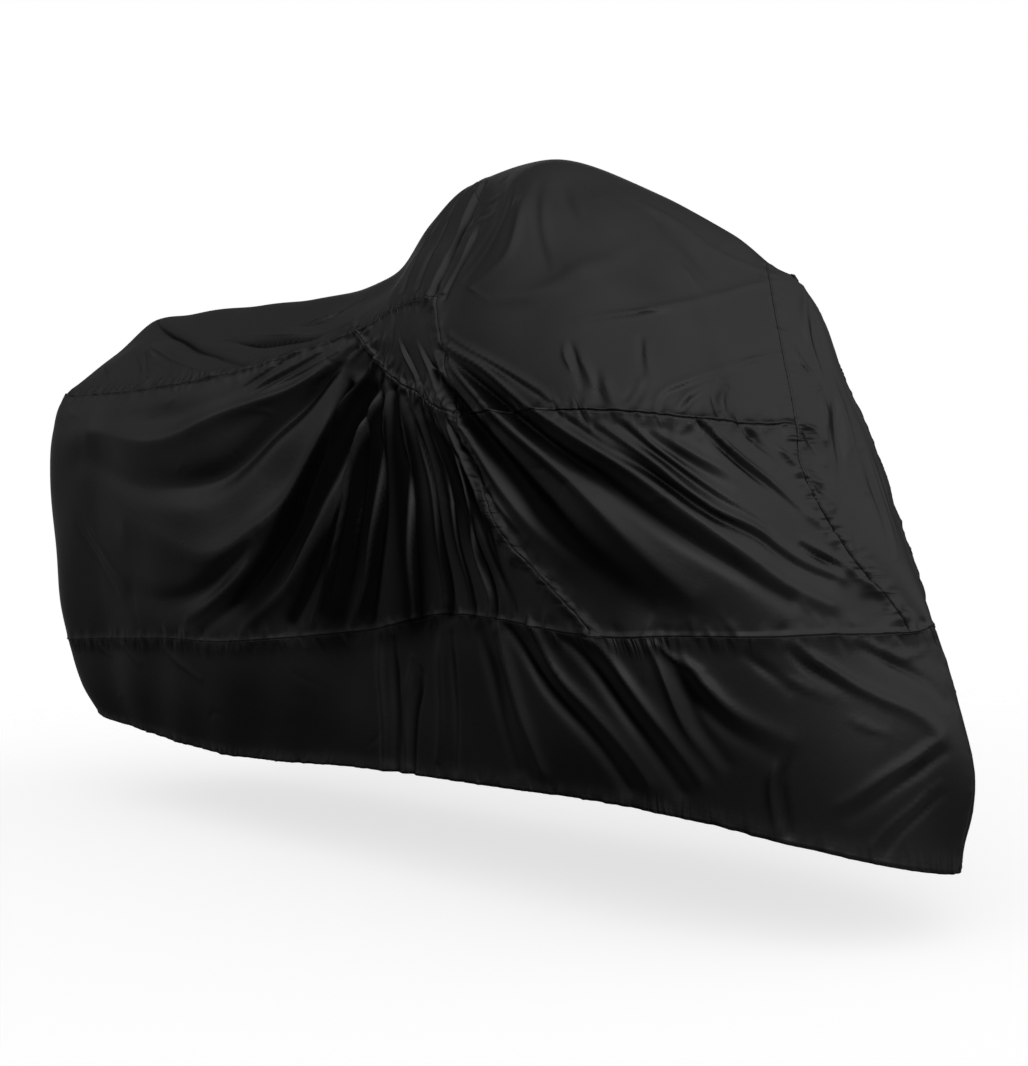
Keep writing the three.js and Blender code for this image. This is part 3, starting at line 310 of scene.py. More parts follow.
# Skirt
SKIRT_FOLDS = (
    Fold(13, (16, 20), (0.5, 0.6), 0.6, ((6.32, 6.11), (6.36, 6.52), (6.44, 7.05), (6.57, 7.69))),
    Fold(-9, (16, 20), (0.4, 0.5), 0.1, ((6.2, 6.15), (6.24, 6.56), (6.3, 7.11), (6.4, 7.71))),
    Fold(-15, (10, 16), (0.5, 0.4), 0.2, ((6.4, 6.08), (6.55, 6.57), (6.79, 7), (7.25, 7.77))),
    Fold(13, (10, 16), (0.5, 0.4), 0.5, ((6.57, 5.96), (6.69, 6.45), (6.94, 6.88), (7.49, 7.65))),
    Fold(-13, (10, 15), (0.5, 0.4), 0.2, ((6.79, 6.09), (7.03, 6.6), (7.46, 7.18), (7.88, 7.7))),
    Fold(12, (10, 14), (0.5, 0.4), 0.5, ((6.97, 6.02), (7.24, 6.47), (7.73, 7.06), (8.14, 7.57))),
    Fold(9, (8, 12), (0.4, 0.3), 0.6, ((7.6, 6.09), (7.82, 6.6), (8.03, 7.09), (8.32, 7.43))),
    Fold(-8, (10, 14), (0.3, 0.3), 0.2, ((7.84, 6.18), (8.02, 6.62), (8.17, 7.03), (8.42, 7.35))),
    Fold(7, (6, 8), (0.4, 0.3), 0.6, ((7.74, 6.08), (7.96, 6.27), (8.26, 6.39))),
    Fold(13, (9, 18), (0.4, 0.3), 0.5, ((8.06, 6.24), (8.31, 6.57), (8.61, 6.84), (9.15, 7.04))),
    Fold(-7, (10, 16), (0.3, 0.3), 0.1, ((7.96, 6.46), (8.19, 6.79), (8.51, 7.04), (9.05, 7.23))),
    Fold(-6, (8, 9), (0.4, 0.4), 0.2, ((8.77, 6.2), (9.04, 6.38), (9.26, 6.55))),
    Fold(4, (5, 7), (0.3, 0.3), 0.5, ((9.18, 6.41), (9.44, 6.51), (9.76, 6.6))),
    Fold(-8, (7, 10), (0.4, 0.3), 0.2, ((9.34, 6.14), (9.55, 6.32), (9.9, 6.47), (10.28, 6.61))),
    Fold(12, (8, 14), (0.4, 0.4), 0.5, ((9.45, 6.1), (9.79, 6.33), (10.35, 6.6), (11.25, 6.91))),
    Fold(-7, (7, 9), (0.4, 0.3), 0.2, ((10.31, 6.13), (10.6, 6.29), (10.98, 6.44), (11.49, 6.6))),
    Fold(6, (5, 7), (0.5, 0.3), 0.6, ((10.34, 6.07), (10.53, 6.17), (10.77, 6.24), (11.19, 6.18))),
    Fold(9, (8, 12), (0.5, 0.3), 0.5, ((11.26, 6.96), (10.78, 7.14), (10.24, 7.29), (9.72, 7.54))),
    Fold(-7, (8, 12), (0.4, 0.3), 0.2, ((11.34, 7.03), (10.92, 7.23), (10.37, 7.39), (9.85, 7.62))),
    Fold(5, (5, 7), (0.5, 0.4), 0.6, ((11.22, 7.31), (10.76, 7.51), (10.36, 7.67), (10.1, 7.85))),
    Fold(-5, (5, 7), (0.4, 0.4), 0.3, ((11.31, 7.37), (10.92, 7.55), (10.54, 7.71), (10.28, 7.89))),
    Fold(4, (5, 6), (0.3, 0.3), 0.5, ((9.95, 6.76), (10.19, 6.85), (10.45, 6.92))),
    Fold(-7, (7, 9), (0.3, 0.7), 0.3, ((9.17, 7.16), (9.06, 7.48), (9.15, 7.91))),
    Fold(6, (7, 9), (0.3, 0.7), 0.5, ((9.05, 7.18), (8.95, 7.5), (9.03, 7.89))),
    Fold(6, (10, 10), (0.4, 0.7), 0.3, ((5.16, 6.03), (5.09, 6.76), (5.17, 7.98))),
    Fold(-8, (10, 12), (0.3, 0.8), 0.2, ((5.29, 6.16), (5.23, 6.92), (5.29, 8))),
    Fold(7, (9, 10), (0.3, 0.7), 0.4, ((5.47, 6.41), (5.34, 7.04), (5.41, 7.93))),
    Fold(-9, (9, 12), (0.3, 0.8), 0.2, ((5.57, 6.6), (5.43, 7.13), (5.45, 7.97))),
    Fold(6, (12, 12), (0.4, 0.5), 0.3, ((5.88, 6.18), (5.78, 6.69), (5.74, 7.73))),
    Fold(-6, (8, 9), (0.4, 0.5), 0.3, ((5.97, 6.22), (5.92, 6.81), (5.92, 7.85))),
    Fold(5, (5, 6), (0.6, 0.3), 0.6, ((1.78, 6.02), (1.83, 6.15), (1.96, 6.31))),
    Fold(5, (5, 7), (0.6, 0.3), 0.6, ((2.21, 6.06), (2.31, 6.21), (2.45, 6.44))),
    Fold(6, (7, 9), (0.5, 0.3), 0.6, ((2.85, 6.13), (3.06, 6.35), (3.4, 6.6))),
)

# Painted shade over wide hollows at the waist. These rows darken the cloth and don't move it.
PAINTED_SHADE_HOLLOWS = (
    Fold(-16, (16, 90), (0.7, 0.6), 0, ((5.24, 2.91), (5.03, 3.97), (4.7, 4.71), (4.3, 5.54))),
    Fold(-16, (26, 130), (0.7, 0.6), 0,
         ((5.42, 3.16), (5.36, 3.91), (5.19, 4.57), (5, 5.14), (4.82, 5.75))),
    Fold(-16, (22, 110), (0.7, 0.6), 0,
         ((5.72, 3.21), (5.8, 3.99), (5.77, 4.67), (5.71, 5.26), (5.61, 5.87))),
    Fold(-14, (16, 60), (0.8, 0.3), 0, ((6.23, 3.2), (6.52, 3.82), (6.51, 4.72), (6.27, 5.59))),
    Fold(-7, (30, 70), (0.1, 1), 0, ((7.38, 3.78), (7.46, 4.88), (7.46, 5.59))),
)

FOLDS = (
    SWAGS + VALLEY + FALLS + FAN + HOOD_BACK + DOME
    + LOWER_HOOD + FRONT + SEAT + GUSSET_FOLDS + SKIRT_FOLDS
)
LEG_STEPS = 6              # straight pieces that each leg of a fold's path is measured by

# Form of a crease across and along its path
CREST_SLOPE = 1.7          # how fast a sharp crest falls away
CREST_ROUNDING = 0.25      # how round its top is, in reaches
RISE_SPEED = 3             # a crease rises to its height over the first third of its path
FALL_START = 1 / 3         # and falls over the rest of it
FALL_SPEED = 1.5
CREASE_MARGIN = 3.2        # reaches round the box of a crease beyond which it isn't reckoned

# Folds whose floors get painted shade and whose crests clear it, as well as the painted hollows
DEEP_FOLDS = VALLEY + FALLS + FAN + HOOD_BACK + SEAT + SKIRT_FOLDS
PAINTED_SHADE_DEPTHS = (2, 13)   # depths in mm at which painted shade starts on a fold's floor, and is full
SHADE_CLEARING_HEIGHTS = (4, 13)  # heights in mm at which a crest starts to clear the painted shade, and clears it all

# Seams. They run round the cover at a level, down it at a section, or along the gusset. groove is the
# depth of the seam in mm. sides are the sides that the fine gathers lie on, 1 below or ahead and -1 above
# or behind. stitch gives the distances of the rows of stitches, with the same signs. pucker gives the
# spacing, length and height in mm of the raised puckers. The puckers stand on the opposite sides, and so
# does the raised edge of a level seam, across from its first row of stitches.
Seam = namedtuple("Seam", "name runs at start end groove pucker sides stitch")
SEAMS = (
    Seam("shoulder", "round", UPPER, 0, HOOD_REAR, 1.6, (15, 38, 2.6), (-1, 1), (-3.5,)),
    Seam("gathered", "gusset", LOWER, WAIST, HOOD_REAR, 2.2, (9, 46, 3.6), (-1, 1), (-3.0,)),
    Seam("hood rear", "down", HOOD_REAR, 0, LOWER, 1.8, (17, 34, 1.8), (-1, 1), (2.5, 8.5)),
    Seam("hood side", "round", LOWER, HOOD_REAR, FRONT_SEAM, 2.0, (19, 44, 2.6), (-1, 1), (2.5, 8.5)),
    Seam("diagonal", "down", HOOD_REAR, LOWER, SKIRT, 1.6, (14, 30, 2.6), (-1, 1), (-3.5,)),
    Seam("front top", "down", FRONT_SEAM, 0, LOWER, 1.2, (24, 24, 1.2), (-1, 1), (3.5,)),
    Seam("front", "down", FRONT_SEAM, LOWER, SKIRT, 2.2, (15, 36, 2.8), (-1, 1), (3.5,)),
    Seam("skirt", "round", SKIRT, 0, NOSE, 0.9, (24, 34, 3.2), (1,), (3.5,)),
    Seam("nose", "down", NOSE, SKIRT, HEM, 1.4, (26, 26, 1.4), (-1,), ()),
    Seam("tail", "down", 0, UPPER, HEM, 1.4, (26, 26, 1.2), (1,), ()),
    Seam("hem", "round", HEM, 0, NOSE, 0, (12, 40, 3.2), (-1,), (-16,)),
)
MOST_PUCKER = 3.8          # puckers of this height would gather the cloth fully
GATHER_REACH = 24          # distance over which the fine gathers beside a seam die out
SEAM_ROWS = {UPPER: "upper", LOWER: "lower", SKIRT: "skirt", HEM: "hem"}
SEAM_STEPS = 260           # points that a seam is traced by
GROOVE_STEPS = 4           # how many of them each piece of a groove spans
GROOVE_REACH = 2.2         # half width of the groove along a seam
EDGE_HEIGHT = 3.0          # height and half width of the raised edge along a level seam
EDGE_REACH = 4.2
SEAM_CRISP = 0.3

# Random puckers. SPACINGS, LENGTHS and HEIGHTS are ranges of shares of the values in the seam's row, and
# DISTANCES is a range in mm from the seam.
PUCKER_START = 0.4         # spacings from the seam's end to the first pucker
PUCKER_SPACINGS = (0.5, 1.6)
PUCKER_DISTANCES = (0.5, 3.0)
PUCKER_LENGTHS = (0.45, 1.3)
PUCKER_HEIGHTS = (0.35, 1.15)
PUCKER_SIGNS = (1, 1, -0.8)   # two ridges for each trough
PUCKER_WIDTH = 6.2         # half width in mm, the range of its shares, and the far end's against it
PUCKER_WIDTHS = (0.7, 1.4)
PUCKER_FLARE = 1.7
PUCKER_SLANT = 0.35
PUCKER_BEND = 0.1
PUCKER_FADE = (0.7, 0.0)

# Slow unevenness of the hanging cloth
WAVES = 14
WAVE_HEIGHT = 2.3
WAVE_LENGTHS = (110, 300)

# Short random creases left from packing, on the net between two sections and two levels
CREASES = 210
CREASE_PLACES = ((0.2, NOSE - 0.2), (0.2, HEM - 0.3))
CREASE_LENGTHS = (40, 150)
CREASE_HEIGHTS = (0.4, 1.3)
CREASE_REACH = (4, 9)
CREASE_FADE = (0.1, 0.1)
CREASE_CRISP = 0.6
CREASE_BEND = 0.12
CREASE_SHARES = (0, 0.33, 0.67, 1)   # shares of the length, and which of these points are bent aside
CREASE_BENT = (0, 1, 1, 0)
SECTION_LENGTH = 280       # rough length of a section of the net in mm, and how many levels are as long
LEVELS_TO_SECTION = 2.2
NET_EDGE = 0.05            # how far a crease stays from the edge of the net

# Thread
STITCH_PITCH = 4.6
STITCH_LENGTH = 3.3
STITCH_RADIUS = 0.42
SPINDLE_SIDES = 3
SPINDLE_RINGS = ((0.0, 0.3), (0.5, 1.0), (1.0, 0.3))   # share of the length, share of the radius
STITCH_LIFT = 0.9          # lift of each ring in its own radius, and how deep the stitch is sunk
STITCH_SINK = 0.3


def catmull(p0, p1, p2, p3, t):
    """Smooth curve from p1 to p2 at share t."""
    return p1 + 0.5 * t * (p2 - p0 + t * (2 * p0 - 5 * p1 + 4 * p2 - p3 + t * (3 * (p1 - p2) + p3 - p0)))


def padded_net():
    """The net of the right half with one row of neighbours beyond each edge."""
    places = [[getattr(section, level) for level in LEVELS] for section in SECTIONS]
    net = np.array(places, float)
    net[..., 1] *= -1
    net[..., 2] -= CROWN_HEIGHT
    mirror = np.array([1, -1, 1])
    net = np.concatenate([net[1:2] * mirror, net, net[-2:-1] * mirror])
    return np.concatenate([net[:, 1:2] * mirror, net, 2 * net[:, -1:] - net[:, -2:-1]], axis=1)


NET = padded_net()


def base_points(section, level):
    """Smooth base surface of the right half at arrays of places."""
    i = np.clip(np.floor(section), 0, NOSE - 1).astype(int)
    j = np.clip(np.floor(level), 0, HEM - 1).astype(int)
    s = (section - i)[..., None]
    t = (level - j)[..., None]
    rows = [catmull(*(NET[i + a, j + b] for a in range(4)), s) for b in range(4)]
    return catmull(*rows, t)


def on_middle(section, level):
    """Which places are on the middle plane."""
    return (section <= 0) | (section >= NOSE) | (level <= 0)


def span_at(section, level, ahead, below):
    """From as far behind and above each place to as far ahead and below it."""
    return base_points(section + ahead, level + below) - base_points(section - ahead, level - below)


def base_normals(section, level):
    """Outward directions of the base surface."""
    s = np.clip(section, NORMAL_STEP, NOSE - NORMAL_STEP)
    t = np.clip(level, NORMAL_STEP, HEM - NORMAL_STEP)
    along = span_at(s, t, NORMAL_STEP, 0)
    down = span_at(s, t, 0, NORMAL_STEP)
    normal = np.cross(down, along)
    normal[on_middle(section, level), 1] = 0
    return normal / np.linalg.norm(normal, axis=-1, keepdims=True)


def gusset_level(section):
    """Level of the gusset's lower seam."""
    share = np.clip(section - WAIST, 0, 1)
    return UPPER + 1 - (1 - share) ** GUSSET_BOW


def smooth_path(places, steps):
    """Places (section, level) along a smooth curve through a few places."""
    places = np.array(places, float)
    padded = np.concatenate([2 * places[:1] - places[1:2], places, 2 * places[-1:] - places[-2:-1]])
    at = np.linspace(0, len(places) - 1, (len(places) - 1) * steps + 1)
    leg = np.clip(np.floor(at), 0, len(places) - 2).astype(int)
    return catmull(*(padded[leg + a] for a in range(4)), (at - leg)[:, None])


def mirrored(points):
    """Points or directions on the other side."""
    return points * np.array([1, -1, 1])


def ease(t):
    """Smooth step from 0 to 1."""
    return t * t * (3 - 2 * t)


def step_over(value, steps):
    """Smooth step from 0 to 1 between two values."""
    return ease(np.clip((value - steps[0]) / (steps[1] - steps[0]), 0, 1))


def running_sums(lengths):
    """Zero and the running sums of some lengths."""
    return np.concatenate([[0], np.cumsum(lengths)])


def run_along(points):
    """How far along a line of points each of them lies."""
    return running_sums(np.linalg.norm(np.diff(points, axis=0), axis=1))


# A crease of the surface, as points in space with its size at both ends
Crease = namedtuple("Crease", "points height reach fade crisp")


def crease_height(crease, points):
    """Height that a crease adds at an array of points."""
    start = crease.points[:-1]
    leg = crease.points[1:] - start
    offset = points[:, None] - start
    t = np.clip((offset * leg).sum(-1) / np.maximum((leg * leg).sum(-1), TINY), 0, 1)
    distance = np.linalg.norm(offset - leg * t[..., None], axis=-1)
    nearest = distance.argmin(1)
    row = np.arange(len(points))
    at = (nearest + t[row, nearest]) / len(start)
    reach = crease.reach[0] + (crease.reach[1] - crease.reach[0]) * at
    far = distance[row, nearest] / reach
    soft = np.exp(-far ** 2)
    sharp = np.exp(-CREST_SLOPE * (np.sqrt(far ** 2 + CREST_ROUNDING ** 2) - CREST_ROUNDING))
    first = crease.fade[0] + (1 - crease.fade[0]) * ease(np.clip(at * RISE_SPEED, 0, 1))
    last = 1 - (1 - crease.fade[1]) * ease(np.clip((at - FALL_START) * FALL_SPEED, 0, 1))
    return crease.height * first * last * (soft + (sharp - soft) * crease.crisp)


def fold_creases(folds):
    """The creases of folds on the right side, and shallower ones on the left."""
    creases = []
    for fold in folds:
        path = smooth_path(fold.path, LEG_STEPS)
        points = base_points(path[:, 0], path[:, 1])
        form = fold.reach, fold.fade, fold.crisp
        creases.append(Crease(points, fold.height, *form))
        creases.append(Crease(mirrored(points), fold.height * LEFT_DEPTH, *form))
    return creases


def seam_places(seam):
    """Places (section, level) along a seam."""
    run = np.linspace(seam.start, seam.end, SEAM_STEPS)
    if seam.runs == "gusset":
        return run, gusset_level(run)
    if seam.runs == "round":
        return run, np.full_like(run, seam.at)
    return np.full_like(run, seam.at), run


def across(seam, along, normals):
    """Directions on the cloth away from a seam: back from one that runs down, and up from any other."""
    return np.cross(along, normals) * (1 if seam.runs == "down" else -1)


def groove_creases(seam, points, normals):
    """The groove of a seam, and the raised edge along a level one."""
    form = (1, 1), SEAM_CRISP
    creases = [Crease(points[::GROOVE_STEPS], -seam.groove, (GROOVE_REACH, GROOVE_REACH), *form)]
    if seam.runs == "round":
        sideways = across(seam, np.gradient(points, axis=0), normals)
        sideways /= np.linalg.norm(sideways, axis=1, keepdims=True)
        edge = points + sideways * seam.stitch[0]
        creases.append(Crease(edge[::GROOVE_STEPS], EDGE_HEIGHT, (EDGE_REACH, EDGE_REACH), *form))
    return creases


def pucker(seam, point, tangent, away, rng):
    """A random pucker that stands away from a seam at one point."""
    reach_out, height = seam.pucker[1:]
    way = away + tangent * rng.normal(0, PUCKER_SLANT)
    long = reach_out * rng.uniform(*PUCKER_LENGTHS)
    start = point + way * rng.uniform(*PUCKER_DISTANCES)
    bend = tangent * long * rng.normal(0, PUCKER_BEND)
    line = np.array([start, start + way * long * 0.5 + bend, start + way * long])
    tall = height * rng.uniform(*PUCKER_HEIGHTS) * rng.choice(PUCKER_SIGNS)
    wide = PUCKER_WIDTH * rng.uniform(*PUCKER_WIDTHS)
    return Crease(line, tall, (wide, wide * PUCKER_FLARE), PUCKER_FADE, SEAM_CRISP)


def pucker_row(seam, points, normals, stand, rng):
    """The puckers that stand on one side of a seam."""
    creases = []
    spacing = seam.pucker[0]
    length = run_along(points)
    at = PUCKER_START * spacing
    while at < length[-1]:
        k = min(np.searchsorted(length, at), SEAM_STEPS - 2)
        tangent = points[k + 1] - points[k]
        tangent /= np.linalg.norm(tangent)
        creases.append(pucker(seam, points[k], tangent, across(seam, tangent, normals[k]) * stand, rng))
        at += spacing * rng.uniform(*PUCKER_SPACINGS)
    return creases


def seam_creases(rng):
    """Grooves along the seams of both sides, and the puckers that stand off them."""
    creases = []
    for seam in SEAMS:
        section, level = seam_places(seam)
        points = base_points(section, level)
        normals = base_normals(section, level)
        for side in (-1, 1):
            found = groove_creases(seam, points, normals) if seam.groove else []
            for stand in seam.sides:
                found += pucker_row(seam, points, normals, stand, rng)
            if side > 0:
                found = [crease._replace(points=mirrored(crease.points)) for crease in found]
            creases += found
    return creases


def packing_creases(rng):
    """Short faint creases scattered over the whole cover."""
    creases = []
    for number in range(CREASES):
        place = np.array([rng.uniform(*span) for span in CREASE_PLACES])
        heading = rng.uniform(0, math.tau)
        long = rng.uniform(*CREASE_LENGTHS) / SECTION_LENGTH
        way = np.array([math.cos(heading), math.sin(heading) * LEVELS_TO_SECTION]) * long
        bend = np.array([-way[1], way[0]]) * rng.normal(0, CREASE_BEND)
        path = place + np.outer(CREASE_SHARES, way) + np.outer(CREASE_BENT, bend)
        path = np.clip(path, NET_EDGE, (NOSE - NET_EDGE, HEM - NET_EDGE))
        points = base_points(path[:, 0], path[:, 1])
        if number % 2:
            points = mirrored(points)
        height = rng.uniform(*CREASE_HEIGHTS) * rng.choice((1, -1))
        reach = rng.uniform(*CREASE_REACH)
        creases.append(Crease(points, height, (reach, reach), CREASE_FADE, CREASE_CRISP))
    return creases


RNG = np.random.default_rng(SEED)
CREASES_OF_ALL = fold_creases(FOLDS) + seam_creases(RNG) + packing_creases(RNG)
# Troughs and hollows that paint shade on the cloth, and crests that clear the painted shade
DEEP_CREASES = fold_creases(DEEP_FOLDS)
SHADING_CREASES = [crease for crease in DEEP_CREASES if crease.height < 0] + fold_creases(PAINTED_SHADE_HOLLOWS)
SHADE_CLEARING_CREASES = [crease for crease in DEEP_CREASES if crease.height > 0]
WAVE_WAYS = RNG.normal(size=(WAVES, 3))
WAVE_WAYS *= (math.tau / RNG.uniform(*WAVE_LENGTHS, WAVES) / np.linalg.norm(WAVE_WAYS, axis=1))[:, None]
WAVE_STARTS = RNG.uniform(0, math.tau, WAVES)


def summed_height(points, creases):
    """Height that a list of creases adds at an array of points."""
    order = points[:, 0].argsort()
    sorted_points = points[order]
    height = np.zeros(len(points))
    for crease in creases:
        margin = CREASE_MARGIN * max(crease.reach)
        low = crease.points.min(0) - margin
        high = crease.points.max(0) + margin
        first, last = np.searchsorted(sorted_points[:, 0], (low[0], high[0]))
        window = sorted_points[first:last]
        inside = np.nonzero(((window[:, 1:] > low[1:]) & (window[:, 1:] < high[1:])).all(1))[0]
        if len(inside):
            height[first + inside] += crease_height(crease, window[inside])
    unsorted = np.empty_like(height)
    unsorted[order] = height
    return unsorted


def relief(points):
    """Height of all folds, puckers and slow waves over the base, at an array of points."""
    waves = WAVE_HEIGHT * np.sin(points @ WAVE_WAYS.T + WAVE_STARTS).sum(1) / math.sqrt(WAVES)
    return waves + summed_height(points, CREASES_OF_ALL)


def painted_shade(section, level, side):
    """Painted shade at each place, from 0 to 1: dark on the floors of the deep folds and hollows, cleared on
    their crests.
    """
    points = base_points(section, level).reshape(-1, 3)
    if side > 0:
        points = mirrored(points)
    shaded = step_over(-summed_height(points, SHADING_CREASES), PAINTED_SHADE_DEPTHS)
    shade_cleared = step_over(summed_height(points, SHADE_CLEARING_CREASES), SHADE_CLEARING_HEIGHTS)
    return (shaded * (1 - shade_cleared)).reshape(section.shape)


def folded_points(section, level, side):
    """The cloth's outer face at arrays of places on one side."""
    shape = section.shape
    points = base_points(section, level).reshape(-1, 3)
    normals = base_normals(section, level).reshape(-1, 3)
    if side > 0:
        points = mirrored(points)
        normals = mirrored(normals)
    points = points + normals * relief(points)[:, None]
    points[on_middle(section, level).reshape(-1), 1] = 0
    return points.reshape(*shape, 3)


def even_cells(length, cell, seam_first, seam_last):
    """Shares of a span cut into cells, with extra lines close to an end that is a seam."""
    count = max(2, round(length / cell))
    shares = np.linspace(0, 1, count + 1)
    lines = np.array(SEAM_LINES) / length
    clear = lines[-1] * SEAM_CLEARANCE
    keep = np.ones(count + 1, bool)
    if seam_first:
        keep &= (shares == 0) | (shares > clear)
    if seam_last:
        keep &= (shares == 1) | (shares < 1 - clear)
    extra = [lines] if seam_first else []
    extra += [1 - lines] if seam_last else []
    return np.sort(np.concatenate([shares[keep], *extra]))


# The grid of one side: columns go round from tail to nose, rows go down from ridge to hem
SEAM_SECTIONS = (0, HOOD_REAR, FRONT_SEAM, NOSE)
columns = [np.zeros(1)]
column_starts = [0]
for span, (length, cell) in enumerate(zip(SPAN_LENGTHS, CELLS_AROUND)):
    shares = even_cells(length, cell, span in SEAM_SECTIONS, span + 1 in SEAM_SECTIONS)
    columns.append(span + shares[1:])
    column_starts.append(column_starts[-1] + len(shares) - 1)
COLUMNS = np.concatenate(columns)
BAND_SHARES = [
    even_cells(band.length, band.cell, band.name != "top", band.name != "skirt")
    for band in BANDS
]
ROW_STARTS = running_sums([len(shares) - 1 for shares in BAND_SHARES])
ROW = dict(zip(("ridge", "upper", "lower", "skirt", "hem"), ROW_STARTS))
COLUMN = {
    "tail": 0,
    "waist": column_starts[WAIST],
    "hood rear": column_starts[HOOD_REAR],
    "front seam": column_starts[FRONT_SEAM],
    "nose": column_starts[NOSE],
}


def grid_places():
    """Arrays of the section and the level of every grid point."""
    edges = [np.zeros_like(COLUMNS), np.full_like(COLUMNS, UPPER), gusset_level(COLUMNS),
             np.full_like(COLUMNS, SKIRT), np.full_like(COLUMNS, HEM)]
    parts = [np.zeros((len(COLUMNS), 1))]
    for top, bottom, shares in zip(edges, edges[1:], BAND_SHARES):
        parts.append(top[:, None] + (bottom - top)[:, None] * shares[None, 1:])
    level = np.concatenate(parts, axis=1)
    return np.repeat(COLUMNS[:, None], level.shape[1], axis=1), level


GRID_SECTION, GRID_LEVEL = grid_places()
GRIDS = {side: folded_points(GRID_SECTION, GRID_LEVEL, side) for side in (-1, 1)}
RUN_AROUND = np.interp(COLUMNS, range(len(SPAN_LENGTHS) + 1), running_sums(SPAN_LENGTHS))
RUN_TO_SEAMS = running_sums([band.length for band in BANDS])
RUN_DOWN = np.interp(GRID_LEVEL, (0, UPPER, LOWER, SKIRT, HEM), RUN_TO_SEAMS)


def gathering(down):
    """How strongly the seams that run down, or all the others, gather the cloth near each grid point."""
    strongest = np.zeros_like(GRID_SECTION)
    for seam in SEAMS:
        if (seam.runs == "down") != down:
            continue
        if down:
            along = GRID_LEVEL
            away = (RUN_AROUND - np.interp(seam.at, COLUMNS, RUN_AROUND))[:, None]
        else:
            along = GRID_SECTION
            away = RUN_DOWN - RUN_DOWN[:, ROW[SEAM_ROWS[seam.at]]][:, None]
        near = np.exp(-(away / GATHER_REACH) ** 2) * seam.pucker[2] / MOST_PUCKER
        kept = (along >= seam.start) & (along <= seam.end) & np.isin(np.sign(away), (0, *seam.sides))
        strongest = np.maximum(strongest, np.where(kept, near, 0))
    return strongest


# What the cloth knows of each grid point, for its material. The first trait is painted shade for the deep
# folds and hollows.
TRAITS = ("painted_shade", "gathers_of_level_seams", "gathers_of_upright_seams")
PAINTED_SHADE_TRAIT, *GATHER_TRAITS = TRAITS
GATHERS = [gathering(False), gathering(True)]
TRAIT_GRIDS = {side: np.stack([painted_shade(GRID_SECTION, GRID_LEVEL, side), *GATHERS], -1) for side in (-1, 1)}


def cut_cells(grid, side):
    """Two triangles for each cell of a grid, as indices into its flattened points, facing outward."""
    count_c, count_r = grid.shape[:2]
    index = np.arange(count_c * count_r).reshape(count_c, count_r)
    a, b = index[:-1, :-1].ravel(), index[1:, :-1].ravel()
    c, d = index[1:, 1:].ravel(), index[:-1, 1:].ravel()
    flat = grid.reshape(-1, 3)
    short = np.linalg.norm(flat[a] - flat[c], axis=1) <= np.linalg.norm(flat[b] - flat[d], axis=1)
    first = np.where(short[:, None], np.stack([a, d, c], 1), np.stack([a, d, b], 1))
    second = np.where(short[:, None], np.stack([a, c, b], 1), np.stack([b, d, c], 1))
    triangles = np.concatenate([first, second])
    return triangles if side < 0 else triangles[:, ::-1]


def weld(points):
    """For each point the number of the first point at the same place."""
    keys = np.round(points * WELDS_PER_MM).astype(np.int64)
    first, inverse = np.unique(keys, axis=0, return_index=True, return_inverse=True)[1:]
    return first[inverse.ravel()]


def shared_normals():
    """Smooth outward directions at every grid point, shared over the seams and the middle."""
    grids = [GRIDS[-1], GRIDS[1]]
    points = np.concatenate([grid.reshape(-1, 3) for grid in grids])
    size = grids[0].shape[0] * grids[0].shape[1]
    triangles = np.concatenate([cut_cells(grids[0], -1), cut_cells(grids[1], 1) + size])
    home = weld(points)
    corners = points[triangles]
    facing = np.cross(corners[:, 1] - corners[:, 0], corners[:, 2] - corners[:, 0])
    normals = np.zeros_like(points)
    for corner in range(3):
        np.add.at(normals, home[triangles[:, corner]], facing)
    normals = normals[home]
    normals /= np.maximum(np.linalg.norm(normals, axis=1, keepdims=True), TINY)
    return {-1: normals[:size].reshape(grids[0].shape), 1: normals[size:].reshape(grids[0].shape)}


NORMALS = shared_normals()


# Panels: the columns and rows that each spans, its sides, the edges drawn back from a seam, and its flat
# cut (width, length) in metres with the area of the cut
Panel = namedtuple("Panel", "node columns rows sides seams flat area")
TOP, BOTTOM, FIRST, LAST = "top", "bottom", "first", "last"
SIDE_PANELS = (
    Panel("side_gusset", ("waist", "hood rear"), ("upper", "lower"), 1, (TOP, BOTTOM, LAST),
          (0.28, 0.36), 0.052),
    Panel("rear_side_panel", ("tail", "hood rear"), ("lower", "skirt"), 1, (TOP, BOTTOM, FIRST, LAST),
          (0.72, 2.2), 1.28),
    Panel("front_side_panel", ("hood rear", "front seam"), ("lower", "skirt"), 1, (TOP, BOTTOM, FIRST, LAST),
          (0.5, 0.95), 0.31),
    Panel("skirt", ("tail", "nose"), ("skirt", "hem"), 1, (TOP, FIRST, LAST), (0.46, 2.85), 0.9),
)
MIDDLE_PANELS = (
    Panel("rear_top_panel", ("tail", "hood rear"), ("ridge", "upper"), 2, (BOTTOM, LAST), (0.9, 1.75), 1.1),
    Panel("hood_panel", ("hood rear", "front seam"), ("ridge", "lower"), 2, (BOTTOM, FIRST, LAST),
          (1.35, 1.05), 0.95),
    Panel("front_panel", ("front seam", "nose"), ("ridge", "skirt"), 2, (BOTTOM, FIRST), (0.34, 0.85), 0.17),
)


def draw_back(edge, inside):
    """Moves an edge half of the seam's gap inward, where its cells are longer than the gap."""
    way = inside - edge
    size = np.linalg.norm(way, axis=-1, keepdims=True)
    edge += np.where(size > SEAM_GAP, way / np.maximum(size, TINY) * SEAM_GAP / 2, 0)


